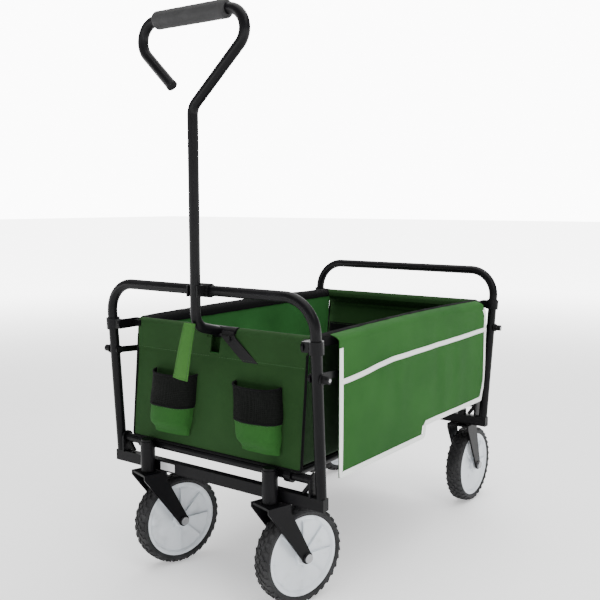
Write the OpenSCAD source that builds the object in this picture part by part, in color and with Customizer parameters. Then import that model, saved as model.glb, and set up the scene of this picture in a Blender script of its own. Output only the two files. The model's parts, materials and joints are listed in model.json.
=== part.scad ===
// Folding garden cart: fabric tub on a steel tube frame, two swivel casters in front,
// two fixed wheels behind, and a tall pull handle. Millimetres, +Z up, floor at z = 0.
// The cart's front faces -Y, and x = 0 is its middle plane.

/* [Frame] */
// Distance between the leg centres, left to right
frame_w = 485; // [420:5:560]
// Distance between the front and rear base hinges
base_len = 662; // [560:2:760]
// Place of the front base hinge along Y
front_y = -367; // [-420:1:-300]
// Outer diameter of the hoop tubes
tube_d = 19; // [16:1:22]
// Length of a hoop along its own lean, crossbar to top bar
hoop_h = 339; // [300:1:400]
// Bend radius of the hoop corners
bend_r = 60; // [45:1:80]
// Forward lean of the front hoop, in degrees
front_lean = 3.5; // [2:0.5:6]
// Backward lean of the rear hoop, in degrees
rear_lean = 8.5; // [5:0.5:10]
// Height of the crossbar's lower face
crossbar_z = 197; // [195:1:205]
// Height of the crossbar's section
crossbar_h = 21; // [18:1:24]
// Depth of the crossbar's section
crossbar_d = 16; // [14:1:20]

/* [Base and rails] */
// Height of the base hinge line
base_z = 246; // [242:1:256]
// Diameter of the base rods and side tubes
rod_d = 16; // [12:1:18]
// Height of the top rail pivots
rail_z = 476; // [455:1:485]
// Diameter of the top rails
rail_d = 14; // [12:1:16]
// Distance of a top rail from the middle plane
rail_x = 209; // [195:1:212]
// How far the tub's front and rear edges sit behind the base hinges
rail_shift = 25; // [20:1:30]
// Height of the side stretcher pivots
stretcher_z = 424; // [400:1:440]
// Running clearance round every pin, per side
pin_gap = 0.05; // [0.02:0.01:0.1]

/* [Wheels] */
// Tyre diameter
wheel_d = 178; // [150:1:184]
// Tyre width
tyre_w = 38; // [30:1:44]
// Hub disc diameter
hub_d = 146; // [120:1:150]
// Axle bolt diameter
axle_d = 10; // [8:1:12]
// Distance of a caster's wheel behind its swivel axis
caster_trail = 62; // [40:1:70]
// Turn of both casters at rest, in degrees
caster_yaw = 16; // [0:1:40]
// Distance of a caster's swivel axis from the middle plane
caster_x = 149; // [135:1:160]
// Distance of a rear wheel from the middle plane
rear_wheel_x = 190; // [180:1:200]
// Distance of a rear wheel behind its post
rear_trail = 40; // [25:1:50]
// Outer diameter of the caster sleeves
sleeve_d = 28; // [24:1:32]
// Diameter of the swivel stems
stem_d = 16; // [12:1:18]

/* [Handle] */
// Height of the middle of the grip
grip_z = 1027; // [900:1:1100]
// Half width of the handle loop
loop_w = 117; // [90:1:130]
// Height where the loop leaves the stem
loop_z = 860; // [800:1:880]
// Diameter of the handle tube
handle_d = 19; // [16:1:20]
// Diameter of the foam grip
grip_d = 32; // [26:1:36]
// Bend radius of the gooseneck
neck_r = 30; // [25:1:40]

/* [Tub] */
// Thickness of the front and rear panels
panel_t = 4; // [3:1:6]
// Thickness of the side walls
wall_t = 4; // [3:1:5]
// Thickness of a floor board
board_t = 6; // [4:1:6]
// Width of a drink pouch
pouch_w = 112; // [90:1:116]
// Depth of a drink pouch
pouch_deep = 35; // [30:1:45]
// Height of a drink pouch
pouch_h = 120; // [90:1:130]
// Height of a pouch's foot above the base hinge line
pouch_lift = 16; // [2:1:24]
// Thickness of the side bag
bag_t = 6; // [4:1:8]

/* [Hidden] */

$fn = 48;
LEFT = -1;
RIGHT = 1;
black = "#1c1b1e";
green = "#3f7a3a";
white = "#eceeef";
steel = "#b9bcc0";

gap = 0.3;
leg_x = frame_w / 2;
rear_y = front_y + base_len;
base_half = base_len / 2;
mid_y = front_y + base_half;
crossbar_top = crossbar_z + crossbar_h;
pin_r = 3;
plate_t = 5;
knuckle_r = 8;
knuckle_clear = 34;
head_t = 2;

// A leg's Y at height z, for the front and rear hoops
function front_leg_y(z) = front_y - (z - crossbar_top) * tan(front_lean);
function rear_leg_y(z) = rear_y + (z - crossbar_top) * tan(rear_lean);

// The plates that face each other at a rail's pivots
rail_plate_x = rail_x + 2.5;
arm_x = rail_plate_x + plate_t + gap;
rail_inner_x = rail_plate_x - gap - plate_t;

// Flat stretchers lie in two neighbouring planes between the legs and the walls
strap_t = 3.5;
strap_h = 12;
strap_outer_x = leg_x - tube_d / 2 - gap - strap_t;
strap_inner_x = strap_outer_x - gap - strap_t;
stretcher_front_y = front_leg_y(stretcher_z);
stretcher_rear_y = rear_leg_y(stretcher_z);
stretcher_half = (stretcher_rear_y - stretcher_front_y) / 2;
stretcher_mid_y = stretcher_front_y + stretcher_half;
stretcher_drop = 22;
float_gap = 1.2;

base_tube_x = rail_x - 31;
board_half_w = base_tube_x - rod_d / 2 - 2;
fold_room_h = 52;
board_start = 30;
board_stop = 9;

sleeve_y = front_y - crossbar_d / 2 - sleeve_d / 2 + 2;
sleeve_base = 197.5;
sleeve_top = 255;
fork_top = 195.5;
fork_t = 4;
crown_h = 9;
axle_z = wheel_d / 2;
fork_in = tyre_w / 2 + 4;
arm_end_r = 11;
hub_w = tyre_w - 6;
post_d = 20;

panel_base = base_z + rod_d / 2 + 6;
panel_h = rail_z - rail_d / 2 - 3 - panel_base;
panel_tilt = atan(rail_shift / (rail_z - panel_base));
panel_half_w = rail_x - wall_t / 2 - 3;
wall_low = 262;
wall_high = rail_z - rail_d / 2 - 4;

handle_y = front_leg_y(crossbar_top) - hoop_h * sin(front_lean) - tube_d / 2 - handle_d / 2 - 0.6;
neck_turn = 75;
pivot_y = front_y + rail_shift;
neck_rise = neck_r * sin(neck_turn);
neck_run = pivot_y - handle_y - neck_r * (1 - cos(neck_turn));
stem_z = rail_z + neck_rise + neck_run / tan(neck_turn);
strap_thick = 3;
strap_front_y = handle_y - handle_d / 2 - 0.5;
strap_hang_z = stem_z - 14;
sleeve_w = 30;
collar_w = 28;
knob_out = 12;
loop_r = 34;
loop_bend = 28;
tube_sides = 16;
sleeve_r = rail_d / 2 + 4;
open_z = 914;
open_x = 49;

// ---- helpers -------------------------------------------------------------------------

// Cylinder along X from x0 to x1 at (y, z)
module rod_x(x0, x1, y, z, r) {
    translate([x0, y, z]) rotate([0, 90, 0]) cylinder(r = r, h = x1 - x0);
}

// Cylinder along Y from y0 to y1 at (x, z)
module rod_y(y0, y1, x, z, r) {
    translate([x, y0, z]) rotate([-90, 0, 0]) cylinder(r = r, h = y1 - y0);
}

// Cylinder between two points
module strut(a, b, r) {
    d = b - a;
    turn = atan2(d[1], d[0]);
    tip = acos(d[2] / norm(d));
    translate(a) rotate([0, tip, turn]) cylinder(r = r, h = norm(d));
}

// Flat plate between x0 and x1 whose outline is drawn as (y, z)
module plate_x(x0, x1) {
    translate([x0, 0, 0]) rotate([90, 0, 90]) linear_extrude(x1 - x0) children();
}

// Outline of a flat bar from (0, 0) to (len, 0) with round ends
module bar_2d(len, r) {
    translate([0, -r]) square([len, 2 * r]);
    circle(r = r);
    translate([len, 0]) circle(r = r);
}

// Mirror a right-hand shape to the side asked for
module on_side(side) {
    if (side == RIGHT) children();
    else mirror([1, 0, 0]) children();
}

// ---- hoops, crossbars and rods ---------------------------------------------------------

// One bent tube: two legs, two bends and the top bar, standing on z = 0
module hoop() {
    straight = hoop_h - bend_r;
    for (side = [LEFT, RIGHT]) on_side(side) {
        translate([leg_x, 0, -8]) cylinder(d = tube_d, h = straight + 8);
        translate([leg_x - bend_r, 0, straight]) rotate([90, 0, 0])
            rotate_extrude(angle = 90) translate([bend_r, 0]) circle(d = tube_d);
    }
    rod_x(-(leg_x - bend_r), leg_x - bend_r, 0, hoop_h, tube_d / 2);
}

// A hoop leaning by lean degrees about the crossbar's top at y, cut flush there
module leaning_hoop(y, lean, bolt_y) {
    difference() {
        translate([0, y, crossbar_top]) rotate([lean, 0, 0]) hoop();
        translate([-leg_x - 40, y - 60, crossbar_top - 40]) cube([frame_w + 80, 120, 40]);
        rod_x(-leg_x - 30, leg_x + 30, bolt_y, stretcher_z, pin_r);
    }
}

module front_frame() {
    color(black) leaning_hoop(front_y, front_lean, stretcher_front_y);
}

module rear_frame() {
    color(black) leaning_hoop(rear_y, -rear_lean, stretcher_rear_y);
}

module crossbar(y) {
    half = leg_x + tube_d / 2;
    translate([-half, y - crossbar_d / 2, crossbar_z]) cube([2 * half, crossbar_d, crossbar_h]);
}

module front_crossbar() {
    color(black) difference() {
        crossbar(front_y);
        for (x = [-caster_x, caster_x])
            translate([x, sleeve_y, crossbar_z - 1]) cylinder(d = sleeve_d, h = crossbar_h + 2);
    }
}

// The rear crossbar carries a short post through it for each fixed fork
module rear_crossbar() {
    color(black) {
        crossbar(rear_y);
        for (x = [-rear_wheel_x, rear_wheel_x])
            for (z = [[fork_top, crossbar_z], [crossbar_top, crossbar_top + 12]])
                translate([x, rear_y, z[0]]) cylinder(d = post_d, h = z[1] - z[0]);
    }
}

// Hinge rod of one end, its two standing plates and the short braces to the legs
module cross_rod(y) {
    half = leg_x - tube_d / 2 - 4;
    color(black) {
        rod_x(-half, half, y, base_z, rod_d / 2);
        for (side = [LEFT, RIGHT]) on_side(side) {
            plate_x(half - 4, half) difference() {
                union() {
                    translate([y - 13, crossbar_top]) square([26, base_z - crossbar_top]);
                    translate([y, base_z]) circle(r = 13);
                }
                translate([y, base_z]) circle(r = rod_d / 2);
            }
            strut([half - 22, y, crossbar_top + 2.8], [half - 8, y, base_z - rod_d / 2 + 1], 4);
        }
    }
}

// The front rod is let in round the caster sleeves
module front_cross_rod() {
    color(black) difference() {
        cross_rod(front_y);
        for (x = [-caster_x, caster_x])
            translate([x, sleeve_y, sleeve_base]) cylinder(d = sleeve_d, h = sleeve_top - sleeve_base);
    }
}

module rear_cross_rod() {
    cross_rod(rear_y);
}

module caster_sleeves() {
    color(black) for (x = [-caster_x, caster_x]) difference() {
        translate([x, sleeve_y, sleeve_base]) cylinder(d = sleeve_d, h = sleeve_top - sleeve_base);
        translate([x, sleeve_y, sleeve_base - 1])
            cylinder(r = stem_d / 2 + pin_gap, h = sleeve_top - sleeve_base + 2);
    }
}

// ---- tub's end rails and their brackets ------------------------------------------------

module end_rail(y) {
    half = arm_x - 12;
    color(black) rod_x(-half, half, y, rail_z, rail_d / 2);
}

module front_rail() {
    end_rail(pivot_y);
}

module rear_rail() {
    end_rail(rear_y + rail_shift);
}

// Collar on the leg, arm to the side rail's pivot, and the pivot's rivet
module rail_bracket(leg_y, lean, pin_y) {
    reach = leg_y < pin_y ? pin_y - leg_y : leg_y - pin_y;
    low_y = min(leg_y, pin_y);
    collar_r = tube_d / 2 + 3.5;
    difference() {
        union() {
            translate([leg_x, leg_y, rail_z]) rotate([lean, 0, 0]) translate([0, 0, -11])
                cylinder(r = collar_r, h = 22);
            plate_x(arm_x, arm_x + plate_t) {
                translate([low_y, rail_z]) bar_2d(reach, 9);
            }
            translate([arm_x, leg_y - 6, rail_z - 9]) cube([leg_x - arm_x, 12, 18]);
        }
        translate([leg_x, leg_y, rail_z]) rotate([lean, 0, 0]) translate([0, 0, -30])
            cylinder(d = tube_d, h = 60);
    }
    rod_x(rail_plate_x - gap, arm_x, pin_y, rail_z, pin_r);
    rod_x(rail_plate_x - gap - head_t, rail_plate_x - gap, pin_y, rail_z, pin_r + 2);
    end_rail_strap(leg_y < pin_y ? -1 : 1, pin_y);
}

// Strap round the pivot that holds the end rail's tip, on the side asked for
module end_rail_strap(dir, pin_y) {
    far = knuckle_r + 5;
    difference() {
        union() {
            translate([arm_x - 20, dir > 0 ? pin_y + far - 4 : pin_y - far, rail_z - 6]) cube([21, 4, 12]);
            translate([arm_x - 20, dir > 0 ? pin_y : pin_y - far, rail_z - 6]) cube([7, far, 12]);
        }
        rod_x(-arm_x, arm_x - 12, pin_y, rail_z, rail_d / 2);
    }
}

module front_rail_brackets() {
    color(black) for (side = [LEFT, RIGHT])
        on_side(side) rail_bracket(front_leg_y(rail_z), front_lean, pivot_y);
}

module rear_rail_brackets() {
    color(black) for (side = [LEFT, RIGHT])
        on_side(side) rail_bracket(rear_leg_y(rail_z), -rear_lean, rear_y + rail_shift);
}

// ---- folding side rails and stretchers -------------------------------------------------

// Front half of a side rail, from its rivet at the front bracket to the middle knuckle
module rail_front(side) {
    far_y = pivot_y + base_half;
    color(black) on_side(side) {
        rod_y(pivot_y + 16, far_y - knuckle_clear, rail_x, rail_z, rail_d / 2);
        difference() {
            union() {
                plate_x(rail_plate_x, rail_plate_x + plate_t)
                    translate([pivot_y, rail_z]) bar_2d(30, knuckle_r);
                plate_x(rail_plate_x, rail_plate_x + plate_t)
                    translate([far_y - knuckle_clear - 14, rail_z]) bar_2d(knuckle_clear + 14, knuckle_r);
            }
            rod_x(rail_plate_x - 1, arm_x, pivot_y, rail_z, pin_r + pin_gap);
        }
        rod_x(rail_inner_x - gap, rail_plate_x, far_y, rail_z, pin_r);
        rod_x(rail_inner_x - gap - head_t, rail_inner_x - gap, far_y, rail_z, pin_r + 2);
    }
}

// Rear half of a side rail, from the middle knuckle to the rear bracket
module rail_rear(side) {
    near_y = pivot_y + base_half;
    far_y = pivot_y + base_len;
    color(black) on_side(side) {
        rod_y(near_y + knuckle_clear, far_y - 16, rail_x, rail_z, rail_d / 2);
        difference() {
            union() {
                plate_x(rail_inner_x, rail_inner_x + plate_t)
                    translate([near_y, rail_z]) bar_2d(knuckle_clear + 14, knuckle_r);
                plate_x(rail_plate_x, rail_plate_x + plate_t)
                    translate([far_y - 30, rail_z]) bar_2d(30, knuckle_r);
            }
            rod_x(rail_inner_x - 1, rail_plate_x, near_y, rail_z, pin_r + pin_gap);
            rod_x(rail_plate_x - 1, arm_x, far_y, rail_z, pin_r + pin_gap);
        }
    }
}

// Outline of a stretcher half: a flat bar that dips towards its raised middle pivot
module stretcher_2d(len) {
    rotate(-atan(stretcher_drop / (len - 14))) translate([0, -strap_h / 2]) square([len - 14, strap_h]);
    for (y = [0, len]) translate([y, 0]) circle(r = strap_h / 2 + 2);
    polygon([[len - 22, -stretcher_drop - 5], [len + 6, -stretcher_drop + 4],
        [len + 7, 1], [len - 7, 1], [len - 24, -stretcher_drop + 7]]);
}

// Front half: holed at the leg's bolt, carries the middle rivet
module stretcher_front(side) {
    color(black) on_side(side) {
        difference() {
            plate_x(strap_outer_x, strap_outer_x + strap_t)
                translate([stretcher_front_y, stretcher_z]) stretcher_2d(stretcher_half);
            rod_x(strap_outer_x - 1, leg_x, stretcher_front_y, stretcher_z, pin_r + pin_gap);
        }
        rod_x(strap_inner_x - gap, strap_outer_x, stretcher_mid_y, stretcher_z, pin_r);
        rod_x(strap_inner_x - gap - head_t, strap_inner_x - gap, stretcher_mid_y, stretcher_z, pin_r + 2);
    }
}

// Rear half: runs on the middle rivet, and its wide hole floats round the rear leg's bolt
module stretcher_rear(side) {
    color(black) on_side(side) difference() {
        plate_x(strap_inner_x, strap_inner_x + strap_t)
            translate([stretcher_rear_y, stretcher_z]) mirror([1, 0]) stretcher_2d(stretcher_half);
        rod_x(strap_inner_x - 1, strap_outer_x, stretcher_mid_y, stretcher_z, pin_r + pin_gap);
        rod_x(strap_inner_x - 1, strap_outer_x, stretcher_rear_y, stretcher_z, pin_r + float_gap);
    }
}

module rail_front_left() { rail_front(LEFT); }
module rail_front_right() { rail_front(RIGHT); }
module rail_rear_left() { rail_rear(LEFT); }
module rail_rear_right() { rail_rear(RIGHT); }
module stretcher_front_left() { stretcher_front(LEFT); }
module stretcher_front_right() { stretcher_front(RIGHT); }
module stretcher_rear_left() { stretcher_rear(LEFT); }
module stretcher_rear_right() { stretcher_rear(RIGHT); }

// Bolt through a leg: knob outside, shank inwards to the stretcher, thin head
module leg_bolt(y, inner_x) {
    out_x = leg_x + tube_d / 2;
    rod_x(inner_x - 0.2, out_x, y, stretcher_z, pin_r);
    rod_x(inner_x - 0.2 - head_t, inner_x - 0.2, y, stretcher_z, 6);
    rod_x(out_x, out_x + 3, y, stretcher_z, 9);
    rod_x(out_x + 3, out_x + 3 + knob_out, y, stretcher_z, 6.5);
}

module front_bolts() {
    color(steel) for (side = [LEFT, RIGHT])
        on_side(side) leg_bolt(stretcher_front_y, strap_outer_x);
}

module rear_bolts() {
    color(steel) for (side = [LEFT, RIGHT])
        on_side(side) leg_bolt(stretcher_rear_y, strap_inner_x);
}

// ---- folding base ------------------------------------------------------------------------

// Side tube of a base half, built for the front half along +Y from y = 0 at its hinge rod
module base_side_tube(mid_x0) {
    eye_r = rod_d / 2 + 4;
    difference() {
        union() {
            rod_x(base_tube_x - 7, base_tube_x + 7, 0, 0, eye_r);
            rod_y(eye_r - 2, base_half - knuckle_clear, base_tube_x, 0, rod_d / 2);
        }
        rod_x(base_tube_x - 8, base_tube_x + 8, 0, 0, rod_d / 2 + pin_gap);
    }
    plate_x(mid_x0, mid_x0 + plate_t)
        translate([base_half - knuckle_clear - 14, 0]) bar_2d(knuckle_clear + 14, knuckle_r);
}

module base_frame_front() {
    outer = base_tube_x + gap / 2;
    color(black) translate([0, front_y, base_z]) {
        for (side = [LEFT, RIGHT]) on_side(side) {
            base_side_tube(outer);
            rod_x(outer - gap - plate_t - gap, outer, base_half, 0, 4);
            rod_x(outer - 2 * gap - plate_t - head_t, outer - 2 * gap - plate_t, base_half, 0, 6);
        }
        for (y = [70, base_half - knuckle_clear - 30])
            rod_x(-base_tube_x, base_tube_x, y, -rod_d / 2 - 2, 5);
    }
}

module base_frame_rear() {
    inner = base_tube_x + gap / 2 - gap - plate_t;
    color(black) translate([0, rear_y, base_z]) mirror([0, 1, 0]) {
        for (side = [LEFT, RIGHT]) on_side(side) difference() {
            base_side_tube(inner);
            rod_x(inner - 1, inner + plate_t + gap / 2, base_half, 0, 4 + pin_gap);
        }
        for (y = [70, base_half - knuckle_clear - 30])
            rod_x(-base_tube_x, base_tube_x, y, -rod_d / 2 - 2, 5);
    }
}

module floor_board(y0, y1) {
    color(black) translate([-board_half_w, y0, base_z - board_t / 2])
        cube([2 * board_half_w, y1 - y0, board_t]);
}

module floor_board_front() {
    floor_board(front_y + board_start, mid_y - board_stop);
}

module floor_board_rear() {
    floor_board(mid_y + board_stop, rear_y - board_start);
}

// A bracket and ball-ended rod under each side of the rear base half
module base_feet() {
    lug_x = base_tube_x + rod_d / 2;
    foot_y = mid_y + 80;
    color(black) for (side = [LEFT, RIGHT]) on_side(side) {
        plate_x(lug_x, lug_x + 4) polygon([[foot_y + 30, base_z + 5], [foot_y + 62, base_z + 5],
            [foot_y + 24, base_z - 22], [foot_y + 18, base_z - 22]]);
        strut([lug_x + 2, foot_y + 24, base_z - 18], [lug_x + 5, foot_y, base_z - 33], 2.5);
        translate([lug_x + 5, foot_y, base_z - 33]) sphere(r = 6.5);
    }
}

// ---- casters and wheels -------------------------------------------------------------------

// Outline of a fork arm from the crown down and back to the axle, as (y, z) from the swivel axis
module arm_2d(trail) {
    a = atan2(axle_z - fork_top, trail);
    nx = -sin(a) * (arm_end_r - 0.8);
    nz = cos(a) * (arm_end_r - 0.8);
    difference() {
        union() {
            polygon([[-22, fork_top], [-22, fork_top - crown_h], [trail - nx, axle_z - nz],
                [trail + nx, axle_z + nz], [26, fork_top - crown_h - 6], [26, fork_top]]);
            translate([trail, axle_z]) circle(r = arm_end_r);
        }
        translate([trail, axle_z]) circle(d = axle_d);
    }
}

module fork(trail) {
    translate([-fork_in - 1, -21, fork_top - fork_t]) cube([2 * fork_in + 2, 46, fork_t]);
    for (x0 = [-fork_in - fork_t, fork_in]) plate_x(x0, x0 + fork_t) arm_2d(trail);
}

// Axle bolt, two spacers and a nut, about the wheel centre
module axle() {
    tip = fork_in + fork_t;
    rod_x(-tip, tip, 0, 0, axle_d / 2);
    for (x0 = [-tip - 5, tip]) rod_x(x0, x0 + 5, 0, 0, 8);
    for (x0 = [-fork_in, fork_in - 3.5]) rod_x(x0, x0 + 3.5, 0, 0, 8);
}

// Hub disc with dished faces, a boss and a rim the tyre sits on
module hub() {
    color(white) difference() {
        union() {
            rod_x(-hub_w / 2 + 4, hub_w / 2 - 4, 0, 0, hub_d / 2 - 10);
            rotate([0, 90, 0]) rotate_extrude() polygon([[hub_d / 2 - 12, -hub_w / 2 + 4],
                [hub_d / 2 - 3, -hub_w / 2], [hub_d / 2, -hub_w / 2], [hub_d / 2, hub_w / 2],
                [hub_d / 2 - 3, hub_w / 2], [hub_d / 2 - 12, hub_w / 2 - 4]]);
            rod_x(-tyre_w / 2 + 0.3, tyre_w / 2 - 0.3, 0, 0, 15);
        }
        rod_x(-tyre_w, tyre_w, 0, 0, axle_d / 2 + pin_gap);
    }
}

// Tyre ring: rounded tread, flat seat on the hub
module tyre() {
    r = wheel_d / 2;
    half = tyre_w / 2;
    color(black) rotate([0, 90, 0]) rotate_extrude($fn = 96) polygon([[hub_d / 2, -hub_w / 2],
        [hub_d / 2 + 3, -half + 0.5], [r - 9, -half], [r - 3, -half + 5], [r, -half + 13],
        [r, half - 13], [r - 3, half - 5], [r - 9, half], [hub_d / 2 + 3, half - 0.5],
        [hub_d / 2, hub_w / 2]]);
}

// Places a piece drawn about a caster's swivel axis
module at_caster(side) {
    translate([side * caster_x, sleeve_y, 0]) rotate([0, 0, -caster_yaw]) children();
}

// Places a piece drawn about a rear fork's post
module at_rear(side) {
    translate([side * rear_wheel_x, rear_y, 0]) children();
}

module at_front_wheel(side) {
    at_caster(side) translate([0, caster_trail, axle_z]) children();
}

module at_rear_wheel(side) {
    at_rear(side) translate([0, rear_trail, axle_z]) children();
}

// The stem stands on the crown and turns in its sleeve, with a flange below and a cap on top
module stem() {
    translate([0, 0, fork_top]) cylinder(d = sleeve_d - 4, h = sleeve_base - fork_top - gap);
    translate([0, 0, fork_top]) cylinder(d = stem_d, h = sleeve_top - fork_top + 3);
    translate([0, 0, sleeve_top + gap]) cylinder(d = sleeve_d - 3, h = 4);
}

module fork_front_left() { color(black) at_caster(LEFT) fork(caster_trail); }
module fork_front_right() { color(black) at_caster(RIGHT) fork(caster_trail); }
module stem_front_left() { color(black) at_caster(LEFT) stem(); }
module stem_front_right() { color(black) at_caster(RIGHT) stem(); }
module fork_rear_left() { color(black) at_rear(LEFT) fork(rear_trail); }
module fork_rear_right() { color(black) at_rear(RIGHT) fork(rear_trail); }
module axle_front_left() { color(steel) at_front_wheel(LEFT) axle(); }
module axle_front_right() { color(steel) at_front_wheel(RIGHT) axle(); }
module axle_rear_left() { color(steel) at_rear_wheel(LEFT) axle(); }
module axle_rear_right() { color(steel) at_rear_wheel(RIGHT) axle(); }
module hub_front_left() { at_front_wheel(LEFT) hub(); }
module hub_front_right() { at_front_wheel(RIGHT) hub(); }
module hub_rear_left() { at_rear_wheel(LEFT) hub(); }
module hub_rear_right() { at_rear_wheel(RIGHT) hub(); }
module tyre_front_left() { at_front_wheel(LEFT) tyre(); }
module tyre_front_right() { at_front_wheel(RIGHT) tyre(); }
module tyre_rear_left() { at_rear_wheel(LEFT) tyre(); }
module tyre_rear_right() { at_rear_wheel(RIGHT) tyre(); }

// ---- handle ---------------------------------------------------------------------------------

// Ring of points round c whose plane is spanned by u and v
function ring(c, u, v) =
    [for (i = [0:tube_sides - 1]) c + handle_d / 2 * (cos(360 * i / tube_sides) * u
        + sin(360 * i / tube_sides) * v)];

// Ring on the gooseneck, where the tube climbs at angle a from upright towards the front
function neck_ring(p, a) = ring([0, p[0], p[1]], [1, 0, 0], [0, cos(a), sin(a)]);

// Ring on the loop, where the tube heads at angle s from upright towards +X
function loop_ring(p, s) = ring([p[0], handle_y, p[1]], [cos(s), 0, -sin(s)], [0, 1, 0]);

// Rings round one bend of the loop, about centre c, from heading s0 to heading s1
function bend_rings(c, r, s0, s1, steps) =
    [for (i = [0:steps]) let (s = s0 + (s1 - s0) * i / steps)
        loop_ring(c + r * [cos(s), -sin(s)], s)];

// One bent tube: gooseneck, stem and a loop that is open on its left side
module handle_tube() {
    corner = [loop_w - loop_r, grip_z - loop_r];
    reach = corner - [loop_bend, loop_z];
    slant = atan2(reach[0], reach[1]) + asin((loop_r + loop_bend) / norm(reach));
    open_reach = corner - [open_x, open_z];
    open_slant = atan2(open_reach[0], open_reach[1]) + asin(loop_r / norm(open_reach));
    neck = [for (i = [0:8]) let (a = neck_turn * (1 - i / 8))
        neck_ring([handle_y + neck_r * (1 - cos(a)), stem_z - neck_r * sin(a)], a)];
    rings = concat(
        [neck_ring([pivot_y - 4 * sin(neck_turn), rail_z + 4 * cos(neck_turn)], neck_turn)],
        neck,
        bend_rings([loop_bend, loop_z], -loop_bend, 0, slant, 6),
        bend_rings(corner, loop_r, slant, -90, 14),
        bend_rings([-corner[0], corner[1]], loop_r, -90, -180 - open_slant, 14),
        [loop_ring([-open_x, open_z], -180 - open_slant)]);
    last = len(rings) - 1;
    color(black) difference() {
        polyhedron(points = [for (one = rings) each one],
            faces = concat([[for (i = [0:tube_sides - 1]) i]],
                [[for (i = [tube_sides - 1:-1:0]) last * tube_sides + i]],
                [for (k = [0:last - 1]) for (i = [0:tube_sides - 1])
                    let (j = (i + 1) % tube_sides)
                    [k * tube_sides + j, k * tube_sides + i,
                        (k + 1) * tube_sides + i, (k + 1) * tube_sides + j]]));
        rod_x(-sleeve_w, sleeve_w, pivot_y, rail_z, sleeve_r);
    }
}

// Sleeve at the gooseneck's end that turns on the front rail
module handle_sleeve() {
    color(black) difference() {
        rod_x(-sleeve_w / 2, sleeve_w / 2, pivot_y, rail_z, sleeve_r);
        rod_x(-sleeve_w, sleeve_w, pivot_y, rail_z, rail_d / 2 + pin_gap);
    }
}

// Foam tube over the loop's top bar
module handle_grip() {
    half = loop_w - loop_r - 1;
    color(black) difference() {
        rod_x(-half, half, handle_y, grip_z, grip_d / 2);
        rod_x(-half - 1, half + 1, handle_y, grip_z, handle_d / 2);
    }
}

// Open fork on the top bar that holds the upright stem
module handle_clip() {
    top_y = front_y - hoop_h * sin(front_lean);
    top_z = crossbar_top + hoop_h * cos(front_lean);
    ring = tube_d / 2 + 3;
    slot = handle_d + 1;
    color(black) difference() {
        union() {
            rod_x(-20, 20, top_y, top_z, ring);
            translate([-slot / 2 - 3.5, handle_y - 9, top_z - 10]) cube([slot + 7, top_y - handle_y + 9, 20]);
        }
        rod_x(-21, 21, top_y, top_z, tube_d / 2);
        translate([-slot / 2, handle_y - 30, top_z - 16])
            cube([slot, 30, 32]);
        translate([0, handle_y, top_z - 16]) cylinder(d = slot, h = 32);
    }
}

// Collar, bolt and wedge-shaped stop beside the handle's pivot sleeve
module handle_collar() {
    x0 = sleeve_w / 2 + gap;
    color(black) {
        difference() {
            union() {
                rod_x(x0, x0 + collar_w, pivot_y, rail_z, rail_d / 2 + 4);
                rod_x(-x0 - 4, -x0, pivot_y, rail_z, rail_d / 2 + 3);
            }
            rod_x(-x0 - 5, x0 + collar_w + 1, pivot_y, rail_z, rail_d / 2);
        }
        translate([0, pivot_y - rail_d / 2 - 4 - 2.5, 0]) rotate([90, 0, 0]) linear_extrude(3)
            polygon([[x0, rail_z - 4], [x0 + collar_w, rail_z - 2], [x0 + 86, rail_z - 47],
                [x0 + 52, rail_z - 47], [x0 + 30, rail_z - 30]]);
        translate([x0, pivot_y - rail_d / 2 - 6.5, rail_z - 6]) cube([collar_w, 5, 10]);
        translate([x0 + 19, pivot_y - rail_d / 2 - 9.5, rail_z - 9]) rotate([90, 0, 0])
            cylinder(d = 9, h = 3);
    }
}

// Webbing strap that hangs in front of the gooseneck
module tie_strap() {
    color(green) translate([0, strap_front_y, 0]) rotate([90, 0, 0]) linear_extrude(strap_thick)
        polygon([[-18, strap_hang_z], [14, strap_hang_z], [14, strap_hang_z - 10],
            [-10, rail_z - 72], [-36, rail_z - 76], [-30, strap_hang_z - 36]]);
}

// ---- tub --------------------------------------------------------------------------------------

// Places a piece drawn on the front panel's plane, z = 0 at its lower edge
module on_panel(y) {
    translate([0, y, panel_base]) rotate([-panel_tilt, 0, 0]) children();
}

module end_panel(y) {
    on_panel(y) translate([-panel_half_w, -panel_t / 2, 0])
        cube([2 * panel_half_w, panel_t, panel_h]);
}

// Room at the panel's foot and corners for the base tubes and side rails when they fold
module fold_room(y) {
    on_panel(y) for (side = [LEFT, RIGHT]) on_side(side) {
        translate([base_tube_x - rod_d / 2 - 1, -20, -1]) cube([rod_d + 2, 40, fold_room_h]);
        translate([panel_half_w - 8, -20, panel_h - 30]) cube([9, 40, 31]);
    }
}

// The front panel is notched round the handle's sleeve and collar
module front_panel() {
    color(green) difference() {
        end_panel(front_y);
        fold_room(front_y);
        on_panel(front_y) translate([-sleeve_w / 2 - 7, -10, panel_h - 32])
            cube([sleeve_w + collar_w + 12, 20, 40]);
    }
}

module rear_panel() {
    color(green) difference() {
        end_panel(rear_y);
        fold_room(rear_y);
    }
}

// Drink pouch on the front panel: open top, tapered front
module cup_holder(x) {
    wall = 3;
    back = -panel_t / 2;
    front = back - pouch_deep;
    color(green) on_panel(front_y) translate([x - pouch_w / 2, 0, pouch_lift]) difference() {
        plate_x(0, pouch_w) polygon([[back, 0], [back, pouch_h], [front, pouch_h],
            [front, pouch_h * 0.5], [front + 8, 0]]);
        plate_x(wall, pouch_w - wall) polygon([[back - wall, wall], [back - wall, pouch_h + 1],
            [front + wall, pouch_h + 1], [front + wall, pouch_h * 0.5], [front + 8 + wall, wall]]);
    }
}

module cup_holder_left() { cup_holder(-94); }
module cup_holder_right() { cup_holder(112); }

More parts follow.
